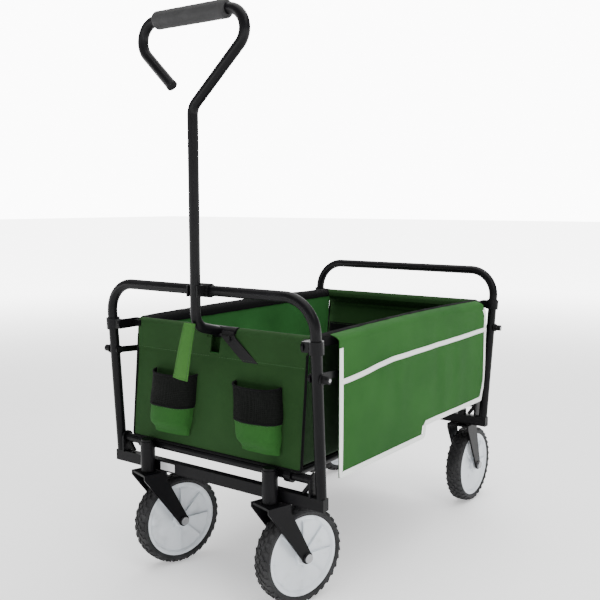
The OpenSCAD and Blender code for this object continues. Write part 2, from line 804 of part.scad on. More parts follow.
// Side wall under its rail
module side_wall(side) {
    y0 = front_y + rail_shift + 6;
    color(green) on_side(side) translate([rail_x - wall_t / 2, y0, wall_low])
        cube([wall_t, base_len - 12, wall_high - wall_low]);
}

module side_wall_left() { side_wall(LEFT); }
module side_wall_right() { side_wall(RIGHT); }

// Flat bag that hangs outside the right stretcher, deeper towards the front
module side_bag() {
    y0 = front_y + 58;
    y1 = rear_y + 8;
    step_y = mid_y + 40;
    color(green) plate_x(leg_x - 7, leg_x - 7 + bag_t) polygon([[y0, rail_z - 4], [y0, 240],
        [step_y, 240], [step_y + 8, 264], [y1 - 18, 262], [y1, rail_z - 4]]);
}

module blank_label() {
    color(white) translate([-127, front_y - crossbar_d / 2 - 0.6, crossbar_z + 3]) cube([37, 0.6, 15]);
}

front_frame();
front_crossbar();
front_cross_rod();
front_rail();
front_rail_brackets();
caster_sleeves();
handle_clip();
handle_collar();
front_panel();
cup_holder_left();
cup_holder_right();
blank_label();
front_bolts();
side_wall_left();
side_wall_right();
side_bag();
handle_tube();
handle_sleeve();
handle_grip();
tie_strap();
fork_front_left();
fork_front_right();
stem_front_left();
stem_front_right();
rear_frame();
rear_crossbar();
rear_cross_rod();
rear_rail();
rear_rail_brackets();
rear_panel();
rear_bolts();
fork_rear_left();
fork_rear_right();
axle_front_left();
axle_front_right();
axle_rear_left();
axle_rear_right();
hub_front_left();
hub_front_right();
hub_rear_left();
hub_rear_right();
tyre_front_left();
tyre_front_right();
tyre_rear_left();
tyre_rear_right();
base_frame_front();
floor_board_front();
base_frame_rear();
floor_board_rear();
base_feet();
rail_front_left();
rail_rear_left();
rail_front_right();
rail_rear_right();
stretcher_front_left();
stretcher_rear_left();
stretcher_front_right();
stretcher_rear_right();
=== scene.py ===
"""Folding garden cart: green fabric tub, black tube frame, white hubs and a tall pull handle.

Everything is in metres in the frame's own axes: +Z up, the cart's front faces -Y.
"""

from __future__ import annotations

import json
import logging
import math
from dataclasses import dataclass, field
from enum import Enum
from typing import Callable, Iterable, Sequence

import bmesh
import bpy
from mathutils import Matrix, Vector, noise

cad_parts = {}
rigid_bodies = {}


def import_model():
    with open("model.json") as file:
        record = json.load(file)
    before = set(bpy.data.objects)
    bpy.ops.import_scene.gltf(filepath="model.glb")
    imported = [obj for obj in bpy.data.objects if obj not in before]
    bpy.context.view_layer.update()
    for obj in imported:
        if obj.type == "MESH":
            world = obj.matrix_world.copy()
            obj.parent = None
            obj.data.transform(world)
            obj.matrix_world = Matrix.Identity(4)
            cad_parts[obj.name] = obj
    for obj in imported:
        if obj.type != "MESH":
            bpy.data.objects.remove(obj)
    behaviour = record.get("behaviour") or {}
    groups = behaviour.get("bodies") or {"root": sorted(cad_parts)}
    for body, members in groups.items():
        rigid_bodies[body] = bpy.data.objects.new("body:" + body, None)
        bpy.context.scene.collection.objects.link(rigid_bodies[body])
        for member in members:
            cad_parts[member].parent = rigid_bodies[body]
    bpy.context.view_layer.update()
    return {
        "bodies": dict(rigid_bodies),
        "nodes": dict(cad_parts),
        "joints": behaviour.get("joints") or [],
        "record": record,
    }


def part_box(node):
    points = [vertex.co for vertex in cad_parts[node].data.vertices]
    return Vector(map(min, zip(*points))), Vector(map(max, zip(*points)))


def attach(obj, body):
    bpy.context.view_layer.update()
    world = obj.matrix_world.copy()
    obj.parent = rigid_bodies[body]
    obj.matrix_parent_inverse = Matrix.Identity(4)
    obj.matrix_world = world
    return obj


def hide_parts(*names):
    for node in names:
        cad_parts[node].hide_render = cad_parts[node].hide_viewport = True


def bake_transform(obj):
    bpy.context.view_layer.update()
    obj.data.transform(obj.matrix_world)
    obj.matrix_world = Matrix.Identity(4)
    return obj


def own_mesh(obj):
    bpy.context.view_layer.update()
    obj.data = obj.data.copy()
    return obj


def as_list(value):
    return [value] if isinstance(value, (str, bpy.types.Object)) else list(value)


LOG = logging.getLogger("garden_cart")
Colour = tuple[float, float, float]
Point = tuple[float, float, float]
# Half width of the slot in the front panel, and the foot of the room round the handle's collar
SLOT_HALF = 0.0112
COLLAR_LOW = 0.4625


class Side(Enum):
    """Left or right of the cart, with its sign along X."""

    LEFT = -1
    RIGHT = 1

    @property
    def word(self) -> str:
        """The side's name as node names spell it."""
        return self.name.lower()


class Body(str, Enum):
    """Rigid bodies that a piece can ride on, apart from those made from a side."""

    FRONT = "front_end"
    REAR = "rear_end"
    HANDLE = "handle"
    STRAP = "strap"
    BASE_FRONT = "base_front"
    BASE_REAR = "base_rear"


# ---- shader maths -----------------------------------------------------------------------


class Sock:
    """A shader socket that can be used in arithmetic."""

    def __init__(self, recipe: "Recipe", socket: bpy.types.NodeSocket) -> None:
        """Wraps one output socket of a recipe's tree."""
        self.recipe = recipe
        self.socket = socket

    def _math(self, operation: str, *values: "Sock | float") -> "Sock":
        """Adds one Math node.

        Args:
            operation: the Math node's operation.
            values: its inputs in order.

        Returns:
            The node's value.
        """
        inputs = {i: value for i, value in enumerate(values)}
        return self.recipe.out("ShaderNodeMath", {"operation": operation}, inputs)

    def __add__(self, other: "Sock | float") -> "Sock":
        """self + other."""
        return self._math("ADD", self, other)

    def __radd__(self, other: float) -> "Sock":
        """other + self."""
        return self._math("ADD", other, self)

    def __sub__(self, other: "Sock | float") -> "Sock":
        """self - other."""
        return self._math("SUBTRACT", self, other)

    def __rsub__(self, other: float) -> "Sock":
        """other - self."""
        return self._math("SUBTRACT", other, self)

    def __mul__(self, other: "Sock | float") -> "Sock":
        """self * other."""
        return self._math("MULTIPLY", self, other)

    def __rmul__(self, other: float) -> "Sock":
        """other * self."""
        return self._math("MULTIPLY", other, self)

    def sine(self) -> "Sock":
        """Sine of the value in radians."""
        return self._math("SINE", self)

    def positive(self) -> "Sock":
        """The value without its sign."""
        return self._math("ABSOLUTE", self)

    def ramp(self, low: float, high: float) -> "Sock":
        """0 below low, 1 above high, and smooth between them."""
        return self.recipe.out(
            "ShaderNodeMapRange",
            {"interpolation_type": "SMOOTHSTEP", "clamp": True},
            {"Value": self, "From Min": low, "From Max": high},
        )


class Recipe:
    """Builds one node material round a Principled shader."""

    def __init__(self, name: str) -> None:
        """Starts an empty material of that name."""
        self.material = bpy.data.materials.new(name)
        self.material.use_nodes = True
        self.tree = self.material.node_tree
        self.tree.nodes.clear()
        self.shader = self.node("ShaderNodeBsdfPrincipled", {}, {})
        output = self.node("ShaderNodeOutputMaterial", {}, {})
        self.tree.links.new(self.shader.outputs[0], output.inputs["Surface"])

    def node(self, kind: str, settings: dict, inputs: dict) -> bpy.types.Node:
        """Adds a node.

        Args:
            kind: the node's type.
            settings: properties that are set first.
            inputs: socket name or number to a value or a Sock.

        Returns:
            The new node.
        """
        made = self.tree.nodes.new(kind)
        for key, value in settings.items():
            setattr(made, key, value)
        for key, value in inputs.items():
            if isinstance(value, Sock):
                self.tree.links.new(value.socket, made.inputs[key])
            else:
                made.inputs[key].default_value = value
        return made

    def out(self, kind: str, settings: dict, inputs: dict, output: int | str = 0) -> Sock:
        """Adds a node and returns one of its outputs."""
        return Sock(self, self.node(kind, settings, inputs).outputs[output])

    def place(self) -> Sock:
        """Object coordinates, in metres."""
        return self.out("ShaderNodeTexCoord", {}, {}, "Object")

    def cloth_place(self) -> Sock:
        """The cloth's own flat coordinates, in metres."""
        return self.out("ShaderNodeUVMap", {"uv_map": "flat"}, {})

    def noise(self, where: Sock, scale: float, detail: float = 3.0) -> Sock:
        """Fractal noise from 0 to 1."""
        inputs = {"Vector": where, "Scale": scale, "Detail": detail}
        return self.out("ShaderNodeTexNoise", {}, inputs, "Fac")

    def blend(self, share: Sock, first: Colour, second: Colour) -> Sock:
        """Mixes two colours by a share."""
        inputs = {0: share, 6: (*first, 1.0), 7: (*second, 1.0)}
        return self.out("ShaderNodeMix", {"data_type": "RGBA"}, inputs, 2)

    def bump(self, height: Sock, strength: float, distance: float) -> None:
        """Feeds the shader's normal from a height in units of distance."""
        inputs = {"Strength": strength, "Distance": distance, "Height": height}
        self.feed("Normal", self.out("ShaderNodeBump", {}, inputs))

    def feed(self, name: str, value: Sock | float | tuple) -> None:
        """Links or sets one of the shader's inputs."""
        if isinstance(value, Sock):
            self.tree.links.new(value.socket, self.shader.inputs[name])
        else:
            self.shader.inputs[name].default_value = value


# ---- finishes ---------------------------------------------------------------------------


@dataclass(frozen=True)
class PowderCoat:
    """Satin black powder coat with orange peel and rubbed patches."""

    name: str = "powder_coat"
    colour: Colour = (0.0022, 0.0021, 0.0027)
    rubbed: Colour = (0.0052, 0.0050, 0.0060)
    peel_scale: float = 900.0

    def build(self) -> bpy.types.Material:
        """Returns the finish as a material."""
        recipe = Recipe(self.name)
        where = recipe.place()
        patches = recipe.noise(where, 14.0, 5.0).ramp(0.46, 0.74)
        dust = recipe.noise(where, 120.0, 4.0)
        recipe.feed("Base Color", recipe.blend(patches, self.colour, self.rubbed))
        recipe.feed("Roughness", 0.30 + 0.14 * patches + 0.10 * dust)
        recipe.feed("Specular IOR Level", 0.11)
        recipe.bump(recipe.noise(where, self.peel_scale, 2.0), 0.12, 0.0004)
        return recipe.material


@dataclass(frozen=True)
class WovenCloth:
    """Woven polyester whose threads follow the cloth's own flat coordinates."""

    name: str
    colour: Colour
    shade: Colour
    thread: float = 0.0011
    relief: float = 0.35
    sheen: float = 0.015

    def build(self) -> bpy.types.Material:
        """Returns the finish as a material."""
        recipe = Recipe(self.name)
        flat = recipe.cloth_place()
        parts = recipe.node("ShaderNodeSeparateXYZ", {}, {0: flat})
        turn = 2.0 * math.pi / self.thread
        warp = (Sock(recipe, parts.outputs[0]) * turn).sine()
        weft = (Sock(recipe, parts.outputs[1]) * turn).sine()
        weave = warp * weft * 0.5 + 0.5
        where = recipe.place()
        cloud = recipe.noise(where, 9.0, 5.0)
        slub = recipe.noise(where, 260.0, 2.0)
        share = (0.55 * cloud + 0.2 * slub + 0.25 * weave).ramp(0.25, 0.75)
        recipe.feed("Base Color", recipe.blend(share, self.shade, self.colour))
        recipe.feed("Roughness", 0.70 + 0.18 * slub)
        recipe.feed("Sheen Weight", self.sheen)
        recipe.feed("Sheen Roughness", 0.5)
        recipe.feed("Specular IOR Level", 0.07)
        creases = recipe.noise(where, 34.0, 3.0) * 2.2
        recipe.bump(weave * 0.5 + slub * 0.4 + creases, self.relief, 0.0006)
        return recipe.material


@dataclass(frozen=True)
class NetCloth:
    """Black elastic mesh whose round holes are painted darker as shade, drawn as dark pits."""

    name: str = "black_net"
    colour: Colour = (0.0040, 0.0046, 0.0040)
    hole: Colour = (0.0010, 0.0018, 0.0010)
    pitch: float = 0.0032

    def build(self) -> bpy.types.Material:
        """Returns the finish as a material."""
        recipe = Recipe(self.name)
        parts = recipe.node("ShaderNodeSeparateXYZ", {}, {0: recipe.cloth_place()})
        turn = math.pi / self.pitch
        across = (Sock(recipe, parts.outputs[0]) * turn).sine()
        along = (Sock(recipe, parts.outputs[1]) * turn).sine()
        holes = (across * along).positive().ramp(0.35, 0.7)
        fuzz = recipe.noise(recipe.place(), 180.0, 3.0)
        # The holes take a darker colour: painted shade in the pits.
        recipe.feed("Base Color", recipe.blend(holes, self.colour, self.hole))
        recipe.feed("Roughness", 0.62 + 0.25 * fuzz)
        recipe.feed("Specular IOR Level", 0.08)
        recipe.bump(1.0 - holes, 0.6, 0.0007)
        return recipe.material


@dataclass(frozen=True)
class Moulded:
    """Moulded plastic with a fine grain, scuffs and a little dirt."""

    name: str
    colour: Colour
    worn: Colour
    roughness: float = 0.42
    grain: float = 700.0
    gloss: float = 0.4

    def build(self) -> bpy.types.Material:
        """Returns the finish as a material."""
        recipe = Recipe(self.name)
        where = recipe.place()
        scuffs = recipe.noise(where, 30.0, 6.0).ramp(0.5, 0.78)
        fine = recipe.noise(where, self.grain, 2.0)
        recipe.feed("Base Color", recipe.blend(scuffs, self.colour, self.worn))
        recipe.feed("Roughness", self.roughness + 0.16 * scuffs + 0.06 * fine)
        recipe.feed("Specular IOR Level", self.gloss)
        recipe.bump(fine, 0.10, 0.0003)
        return recipe.material


@dataclass(frozen=True)
class Rubber:
    """Matt rubber or foam with pores and a dusty bloom."""

    name: str
    colour: Colour
    bloom: Colour
    pores: float = 420.0
    depth: float = 0.35

    def build(self) -> bpy.types.Material:
        """Returns the finish as a material."""
        recipe = Recipe(self.name)
        where = recipe.place()
        dusty = recipe.noise(where, 24.0, 5.0).ramp(0.42, 0.7)
        pores = recipe.noise(where, self.pores, 3.0)
        recipe.feed("Base Color", recipe.blend(dusty, self.colour, self.bloom))
        recipe.feed("Roughness", 0.66 + 0.2 * pores)
        recipe.bump(pores, self.depth, 0.0006)
        return recipe.material


@dataclass(frozen=True)
class ZincPlate:
    """Zinc plated steel with brushed streaks."""

    name: str = "zinc_plate"
    colour: Colour = (0.42, 0.42, 0.43)
    dull: Colour = (0.24, 0.24, 0.25)

    def build(self) -> bpy.types.Material:
        """Returns the finish as a material."""
        recipe = Recipe(self.name)
        where = recipe.place()
        streaks = recipe.noise(where, 160.0, 6.0)
        recipe.feed("Base Color", recipe.blend(streaks, self.dull, self.colour))
        recipe.feed("Metallic", 1.0)
        recipe.feed("Roughness", 0.28 + 0.2 * streaks)
        recipe.bump(streaks, 0.15, 0.0002)
        return recipe.material


@dataclass(frozen=True)
class StudioFloor:
    """Pale seamless floor."""

    name: str = "studio_floor"
    colour: Colour = (0.93, 0.93, 0.93)
    shade: Colour = (0.90, 0.90, 0.90)
    glow_from: float = 0.6
    glow_to: float = 5.5
    glow: float = 6.0

    def build(self) -> bpy.types.Material:
        """Returns the finish as a material."""
        recipe = Recipe(self.name)
        cloud = recipe.noise(recipe.place(), 2.0, 2.0)
        recipe.feed("Base Color", recipe.blend(cloud, self.shade, self.colour))
        recipe.feed("Roughness", 0.9)
        away = Sock(recipe, recipe.node(
            "ShaderNodeVectorMath", {"operation": "LENGTH"}, {0: recipe.place()}
        ).outputs["Value"])
        share = away.ramp(self.glow_from, self.glow_to)
        recipe.feed("Emission Color", recipe.blend(share * share, (0.08, 0.08, 0.08), (1.0, 1.0, 1.0)))
        recipe.feed("Emission Strength", self.glow)
        return recipe.material


FINISHES = {
    "steel": PowderCoat(),
    "green": WovenCloth("wall_cloth", (0.034, 0.150, 0.038), (0.022, 0.106, 0.025)),
    "bag": WovenCloth("bag_cloth", (0.024, 0.096, 0.019), (0.014, 0.064, 0.012)),
    # The end panels' cloth: the wall green painted darker as shade, because the front of the tub stands
    # in shade.
    "panel_painted_shade": WovenCloth("front_cloth", (0.019, 0.052, 0.015), (0.012, 0.036, 0.010)),
    "lime": WovenCloth("strap_cloth", (0.046, 0.135, 0.028), (0.032, 0.104, 0.020), relief=0.5),
    # Darker copy of the wall green: painted shade for the right wall's outer face beside the bag.
    "deep": WovenCloth("shaded_cloth", (0.0095, 0.0260, 0.0085), (0.0060, 0.0170, 0.0056)),
    "black_cloth": WovenCloth(
        "black_cloth", (0.0034, 0.0036, 0.0038), (0.0018, 0.0018, 0.0021), sheen=0.02
    ),
    "white_tape": WovenCloth("white_tape", (0.86, 0.88, 0.85), (0.74, 0.77, 0.74), sheen=0.05),
    "net": NetCloth(),
    "white": Moulded("white_hub", (0.72, 0.76, 0.80), (0.55, 0.58, 0.61), 0.36),
    "black": Moulded(
        "black_plastic", (0.0034, 0.0033, 0.0038), (0.0075, 0.0072, 0.0075), 0.5, gloss=0.14
    ),
    "label": Moulded("blank_label", (0.62, 0.62, 0.63), (0.48, 0.48, 0.49), 0.4),
    "tyre": Rubber("tyre_rubber", (0.0070, 0.0070, 0.0080), (0.022, 0.022, 0.023), 300.0, 0.4),
    "foam": Rubber("foam_grip", (0.0060, 0.0060, 0.0065), (0.013, 0.013, 0.014), 520.0, 0.7),
    "thread": Moulded("green_thread", (0.030, 0.085, 0.026), (0.020, 0.060, 0.018), 0.7),
    "pale_thread": Moulded("white_thread", (0.55, 0.57, 0.54), (0.42, 0.44, 0.42), 0.7),
    "zinc": ZincPlate(),
    "floor": StudioFloor(),
}


class Paints:
    """Builds each finish once and hands it out."""

    def __init__(self) -> None:
        """Starts with nothing built."""
        self._made: dict[str, bpy.types.Material] = {}

    def __getitem__(self, key: str) -> bpy.types.Material:
        """The material of that name, built when first asked for."""
        if key not in self._made:
            self._made[key] = FINISHES[key].build()
        return self._made[key]


# ---- mesh helpers -----------------------------------------------------------------------


class Draft:
    """Collects vertices, faces and flat cloth coordinates for one mesh."""

    def __init__(self) -> None:
        """Starts empty."""
        self.points: list[Vector] = []
        self.flats: list[tuple[float, float]] = []
        self.faces: list[tuple[int, ...]] = []

    def grid(
        self,
        shape: Callable[[float, float], Sequence[float]],
        us: Sequence[float],
        vs: Sequence[float],
        skip: Callable[[float, float], bool] | None = None,
        wrap: bool = False,
    ) -> "Draft":
        """Adds a sheet of quads.

        Args:
            shape: gives the point at (u, v).
            us: values of u, which are also the flat coordinate across.
            vs: values of v, which are also the flat coordinate along.
            skip: says which cells, by their middle, are left out.
            wrap: joins the last u back to the first.

        Returns:
            The draft itself.
        """
        start = len(self.points)
        for v in vs:
            for u in us:
                self.points.append(Vector(shape(u, v)))
                self.flats.append((u, v))
        columns = len(us)
        for j in range(len(vs) - 1):
            for i in range(columns if wrap else columns - 1):
                k = (i + 1) % columns
                middle = (0.5 * (us[i] + us[k]), 0.5 * (vs[j] + vs[j + 1]))
                if skip and skip(*middle):
                    continue
                row, above = start + j * columns, start + (j + 1) * columns
                self.faces.append((row + i, row + k, above + k, above + i))
        return self

    def cap(self, ring: Iterable[int]) -> "Draft":
        """Adds one face over those points."""
        self.faces.append(tuple(ring))
        return self

    def mesh(self, name: str, merge: float = 1e-6) -> bpy.types.Mesh:
        """Returns the finished mesh with merged points and outward faces."""
        mesh = bpy.data.meshes.new(name)
        mesh.from_pydata(self.points, [], self.faces)
        layer = mesh.uv_layers.new(name="flat")
        for loop in mesh.loops:
            layer.data[loop.index].uv = self.flats[loop.vertex_index]
        edit = bmesh.new()
        edit.from_mesh(mesh)
        bmesh.ops.remove_doubles(edit, verts=edit.verts, dist=merge)
        loose = [v for v in edit.verts if not v.link_faces]
        bmesh.ops.delete(edit, geom=loose, context="VERTS")
        bmesh.ops.recalc_face_normals(edit, faces=edit.faces)
        edit.to_mesh(mesh)
        edit.free()
        return mesh


def spread(low: float, high: float, count: int) -> list[float]:
    """Returns count + 1 even values from low to high."""
    return [low + (high - low) * i / count for i in range(count + 1)]


def eased(x: float) -> float:
    """Smooth step of x between 0 and 1."""
    x = min(1.0, max(0.0, x))
    return x * x * (3.0 - 2.0 * x)


def ripple(x: float, y: float, seed: float) -> float:
    """Smooth noise from about -1 to 1 for folds in cloth."""
    return noise.noise(Vector((x, y, seed)))


def tube_mesh(name: str, path: Sequence[Vector], radius: float, sides: int = 28) -> bpy.types.Mesh:
    """Sweeps a circle along a path with closed ends.

    Args:
        name: the mesh's name.
        path: centre points.
        radius: the tube's radius.
        sides: points round the circle.

    Returns:
        The tube.
    """
    draft = Draft()
    first = (path[1] - path[0]).normalized()
    across = first.cross(Vector((0.0, 0.0, 1.0)))
    across = across.normalized() if across.length > 0.1 else Vector((1.0, 0.0, 0.0))
    frames: list[tuple[Vector, Vector, Vector]] = []
    for i, point in enumerate(path):
        ahead = path[min(i + 1, len(path) - 1)] - path[max(i - 1, 0)]
        ahead.normalize()
        across = (across - ahead * across.dot(ahead)).normalized()
        frames.append((point, across, ahead.cross(across)))

    def shape(u: float, v: float) -> Vector:
        """Point at angle u on ring v."""
        centre, right, up = frames[int(v)]
        return centre + radius * (math.cos(u) * right + math.sin(u) * up)

    angles = [2.0 * math.pi * i / sides for i in range(sides)]
    draft.grid(shape, angles, list(range(len(path))), wrap=True)
    draft.cap(range(sides - 1, -1, -1))
    draft.cap((len(path) - 1) * sides + i for i in range(sides))
    return draft.mesh(name)


def lathe_x(draft: Draft, profile: Sequence[tuple[float, float]], steps: int) -> Draft:
    """Turns a closed (x, radius) profile round the X axis."""
    ring = [*profile, profile[0]]

    def shape(u: float, v: float) -> Point:
        """Point at angle u on profile point v."""
        x, radius = ring[int(v)]
        return (x, radius * math.cos(u), radius * math.sin(u))

    angles = [2.0 * math.pi * i / steps for i in range(steps)]
    return draft.grid(shape, angles, list(range(len(ring))), wrap=True)


def thickened(mesh: bpy.types.Mesh, thickness: float, bevel: float = 0.0) -> bpy.types.Mesh:
    """Returns the sheet given a thickness about its middle, with its edges eased."""
    made = bpy.data.objects.new(mesh.name, mesh)
    bpy.context.scene.collection.objects.link(made)
    solid = made.modifiers.new("thickness", "SOLIDIFY")
    solid.thickness = thickness
    solid.offset = 0.0
    solid.use_even_offset = True
    if bevel:
        ease = made.modifiers.new("edges", "BEVEL")
        ease.width = bevel
        ease.segments = 2
        ease.limit_method = "ANGLE"
    return evaluated(made)


def evaluated(made: bpy.types.Object) -> bpy.types.Mesh:
    """Turns an object and its modifiers into a plain mesh and removes the object."""
    graph = bpy.context.evaluated_depsgraph_get()
    graph.update()
    mesh = bpy.data.meshes.new_from_object(
        made.evaluated_get(graph), preserve_all_data_layers=True, depsgraph=graph
    )
    bpy.data.objects.remove(made)
    return mesh


def joined(name: str, meshes: Sequence[bpy.types.Mesh]) -> bpy.types.Mesh:
    """Returns one mesh that holds all the given ones, keeping their materials."""
    materials: list[bpy.types.Material] = []
    edit = bmesh.new()
    for mesh in meshes:
        start = len(edit.faces)
        edit.from_mesh(mesh)
        edit.faces.ensure_lookup_table()
        places = []
        for material in mesh.materials:
            if material not in materials:
                materials.append(material)
            places.append(materials.index(material))
        for face in edit.faces[start:]:
            face.material_index = places[face.material_index] if places else 0
    whole = bpy.data.meshes.new(name)
    edit.to_mesh(whole)
    edit.free()
    for material in materials:
        whole.materials.append(material)
    return whole


def painted(mesh: bpy.types.Mesh, material: bpy.types.Material) -> bpy.types.Mesh:
    """Gives the whole mesh one material."""
    mesh.materials.clear()
    mesh.materials.append(material)
    return mesh


def publish(
    name: str,
    mesh: bpy.types.Mesh,
    body: str | None,
    nodes: Sequence[str] = (),
    crease: float = 35.0,
) -> bpy.types.Object:
    """Makes a mesh a piece of the cart.

    Args:
        name: the piece's name.
        mesh: its finished mesh, in place.
        body: the body that it rides on, or None to attach it to no body.
        nodes: CAD nodes that it stands for.
        crease: angle in degrees past which an edge stays sharp.

    Returns:
        The piece.
    """
    made = bpy.data.objects.new(name, mesh)
    bpy.context.scene.collection.objects.link(made)
    mesh.polygons.foreach_set("use_smooth", [True] * len(mesh.polygons))
    mesh.set_sharp_from_angle(angle=math.radians(crease))
    if body is not None:
        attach(made, body)
    if nodes:
        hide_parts(*nodes)
    LOG.info("%s: %d faces on %s", name, len(mesh.polygons), body)
    return made


def area_of(mesh: bpy.types.Mesh) -> float:
    """Total area of a mesh's faces."""
    return sum(face.area for face in mesh.polygons)


# ---- geometry node trees ----------------------------------------------------------------


class GrowTree:
    """Base of the trees that repeat a small shape: builds nodes and runs the result."""

    title = "grow"

    def __init__(self) -> None:
        """Builds the tree once."""
        self.tree = bpy.data.node_groups.new(self.title, "GeometryNodeTree")
        self.tree.interface.new_socket("Geometry", in_out="INPUT", socket_type="NodeSocketGeometry")
        self.tree.interface.new_socket("Geometry", in_out="OUTPUT", socket_type="NodeSocketGeometry")
        self.ids: dict[str, str] = {}
        self.source = None
        self.build()

    def size(self, name: str, kind: str = "Float") -> None:
        """Adds a named input to the tree."""
        made = self.tree.interface.new_socket(
            name, in_out="INPUT", socket_type=f"NodeSocket{kind}"
        )
        self.ids[name] = made.identifier

    def node(self, kind: str, settings: dict, inputs: dict) -> bpy.types.Node:
        """Adds a node whose inputs are values or output sockets."""
        made = self.tree.nodes.new(kind)
        for key, value in settings.items():
            setattr(made, key, value)
        for key, value in inputs.items():
            if isinstance(value, bpy.types.NodeSocket):
                self.tree.links.new(value, made.inputs[key])
            else:
                made.inputs[key].default_value = value
        return made

    def finish(self, instances: bpy.types.NodeSocket) -> None:
        """Ends the tree in Realize Instances and Set Material."""
        real = self.node("GeometryNodeRealizeInstances", {}, {0: instances})
        source = self.source.outputs["Finish"]
        dressed = self.node("GeometryNodeSetMaterial", {}, {0: real.outputs[0], "Material": source})
        self.node("NodeGroupOutput", {}, {0: dressed.outputs[0]})

    def build(self) -> None:
        """Adds this tree's own nodes."""
        raise NotImplementedError

    def grow(self, mesh: bpy.types.Mesh, **values: object) -> bpy.types.Mesh:
        """Runs the tree over a mesh.

        Args:
            mesh: what the shapes are placed on.
            values: the named inputs, with _ for a space.

        Returns:
            A plain mesh of the repeated shapes.
        """
        made = bpy.data.objects.new(self.title, mesh)
        bpy.context.scene.collection.objects.link(made)
        modifier = made.modifiers.new(self.title, "NODES")
        modifier.node_group = self.tree
        for name, value in values.items():
            modifier[self.ids[name.replace("_", " ")]] = value
        return evaluated(made)


class StitchTree(GrowTree):
    """Stitches laid end to end along a line of edges."""

    title = "stitches"

    def build(self) -> None:
        """Mesh line to curve, resampled at the pitch, with a thread at each point."""
        for name in ("Pitch", "Length", "Radius"):
            self.size(name)
        self.size("Finish", "Material")
        self.source = self.node("NodeGroupInput", {}, {})
        size = self.source.outputs
        curve = self.node("GeometryNodeMeshToCurve", {}, {0: size["Geometry"]})
        even = self.node(
            "GeometryNodeResampleCurve",
            {"mode": "LENGTH"},
            {"Curve": curve.outputs[0], "Length": size["Pitch"]},
        )
        thread = self.node("GeometryNodeMeshIcoSphere", {}, {"Radius": 1.0, "Subdivisions": 1})
        tangent = self.node("GeometryNodeInputTangent", {}, {})
        turn = self.node(
            "FunctionNodeAlignRotationToVector", {"axis": "Z"}, {"Vector": tangent.outputs[0]}
        )
        scale = self.node(
            "ShaderNodeCombineXYZ", {}, {0: size["Radius"], 1: size["Radius"], 2: size["Length"]}
        )
        placed = self.node(
            "GeometryNodeInstanceOnPoints",
            {},
            {
                "Points": even.outputs[0],
                "Instance": thread.outputs[0],
                "Rotation": turn.outputs[0],
                "Scale": scale.outputs[0],
            },
        )
        self.finish(placed.outputs[0])

    def run(self, path: Sequence[Point], finish: bpy.types.Material, pitch: float = 0.006,
            length: float = 0.0019, radius: float = 0.00055) -> bpy.types.Mesh:
        """Returns the stitches along a path."""
        mesh = bpy.data.meshes.new("stitch_line")
        mesh.from_pydata([Vector(p) for p in path], [(i, i + 1) for i in range(len(path) - 1)], [])
        return self.grow(mesh, Pitch=pitch, Length=length, Radius=radius, Finish=finish)


class TreadTree(GrowTree):
    """One row of tread lugs round a wheel that turns on the X axis."""

    title = "tread_lugs"

    def build(self) -> None:
        """A circle of points, each with a slanted block that stands on its radius."""
        self.size("Lugs", "Int")
        for name in ("Radius", "Row", "Phase", "Slant", "Tilt"):
            self.size(name)
        self.size("Block", "Vector")
        self.size("Finish", "Material")
        self.source = self.node("NodeGroupInput", {}, {})
        size = self.source.outputs
        circle = self.node(
            "GeometryNodeMeshCircle", {}, {"Vertices": size["Lugs"], "Radius": size["Radius"]}
        )
        shift = self.node("ShaderNodeCombineXYZ", {}, {0: size["Row"], 1: 0.0, 2: 0.0})
        stood = self.node(
            "GeometryNodeTransform", {}, {0: circle.outputs[0], "Rotation": (0.0, math.pi / 2.0, 0.0)}
        )
        turned = self.node("ShaderNodeCombineXYZ", {}, {0: size["Phase"], 1: 0.0, 2: 0.0})
        phased = self.node(
            "GeometryNodeTransform", {}, {0: stood.outputs[0], "Rotation": turned.outputs[0]}
        )
        radial = self.node("GeometryNodeInputPosition", {}, {})
        align = self.node(
            "FunctionNodeAlignRotationToVector",
            {"axis": "Z", "pivot_axis": "X"},
            {"Vector": radial.outputs[0]},
        )
        lean = self.node("ShaderNodeCombineXYZ", {}, {0: 0.0, 1: size["Tilt"], 2: size["Slant"]})
        skew = self.node(
            "FunctionNodeRotateRotation",
            {"rotation_space": "LOCAL"},
            {0: align.outputs[0], 1: lean.outputs[0]},
        )
        block = self.node("GeometryNodeMeshCube", {}, {"Size": size["Block"]})
        placed = self.node(
            "GeometryNodeInstanceOnPoints",
            {},
            {
                "Points": phased.outputs[0],
                "Instance": block.outputs[0],
                "Rotation": skew.outputs[0],
            },
        )
        moved = self.node(
            "GeometryNodeTransform", {}, {0: placed.outputs[0], "Translation": shift.outputs[0]}
        )
        self.finish(moved.outputs[0])


# ---- the cart's sizes -------------------------------------------------------------------


@dataclass(frozen=True)
class Layout:
    """Positions shared by the sub-assemblies, in metres, as the frame has them."""

    front_y: float = -0.367
    base_len: float = 0.662
    shift: float = 0.025
    panel_base: float = 0.260
    rail_z: float = 0.476
    rail_x: float = 0.209

    @property
    def rear_y(self) -> float:
        """Y of the rear base hinge."""
        return self.front_y + self.base_len

    @property
    def mid_y(self) -> float:
        """Y of the middle base hinge."""
        return self.front_y + 0.5 * self.base_len

    @property
    def pivot_y(self) -> float:
        """Y of the front end rail."""
        return self.front_y + self.shift

    @property
    def rear_rail_y(self) -> float:
        """Y of the rear end rail."""
        return self.rear_y + self.shift


LAYOUT = Layout()


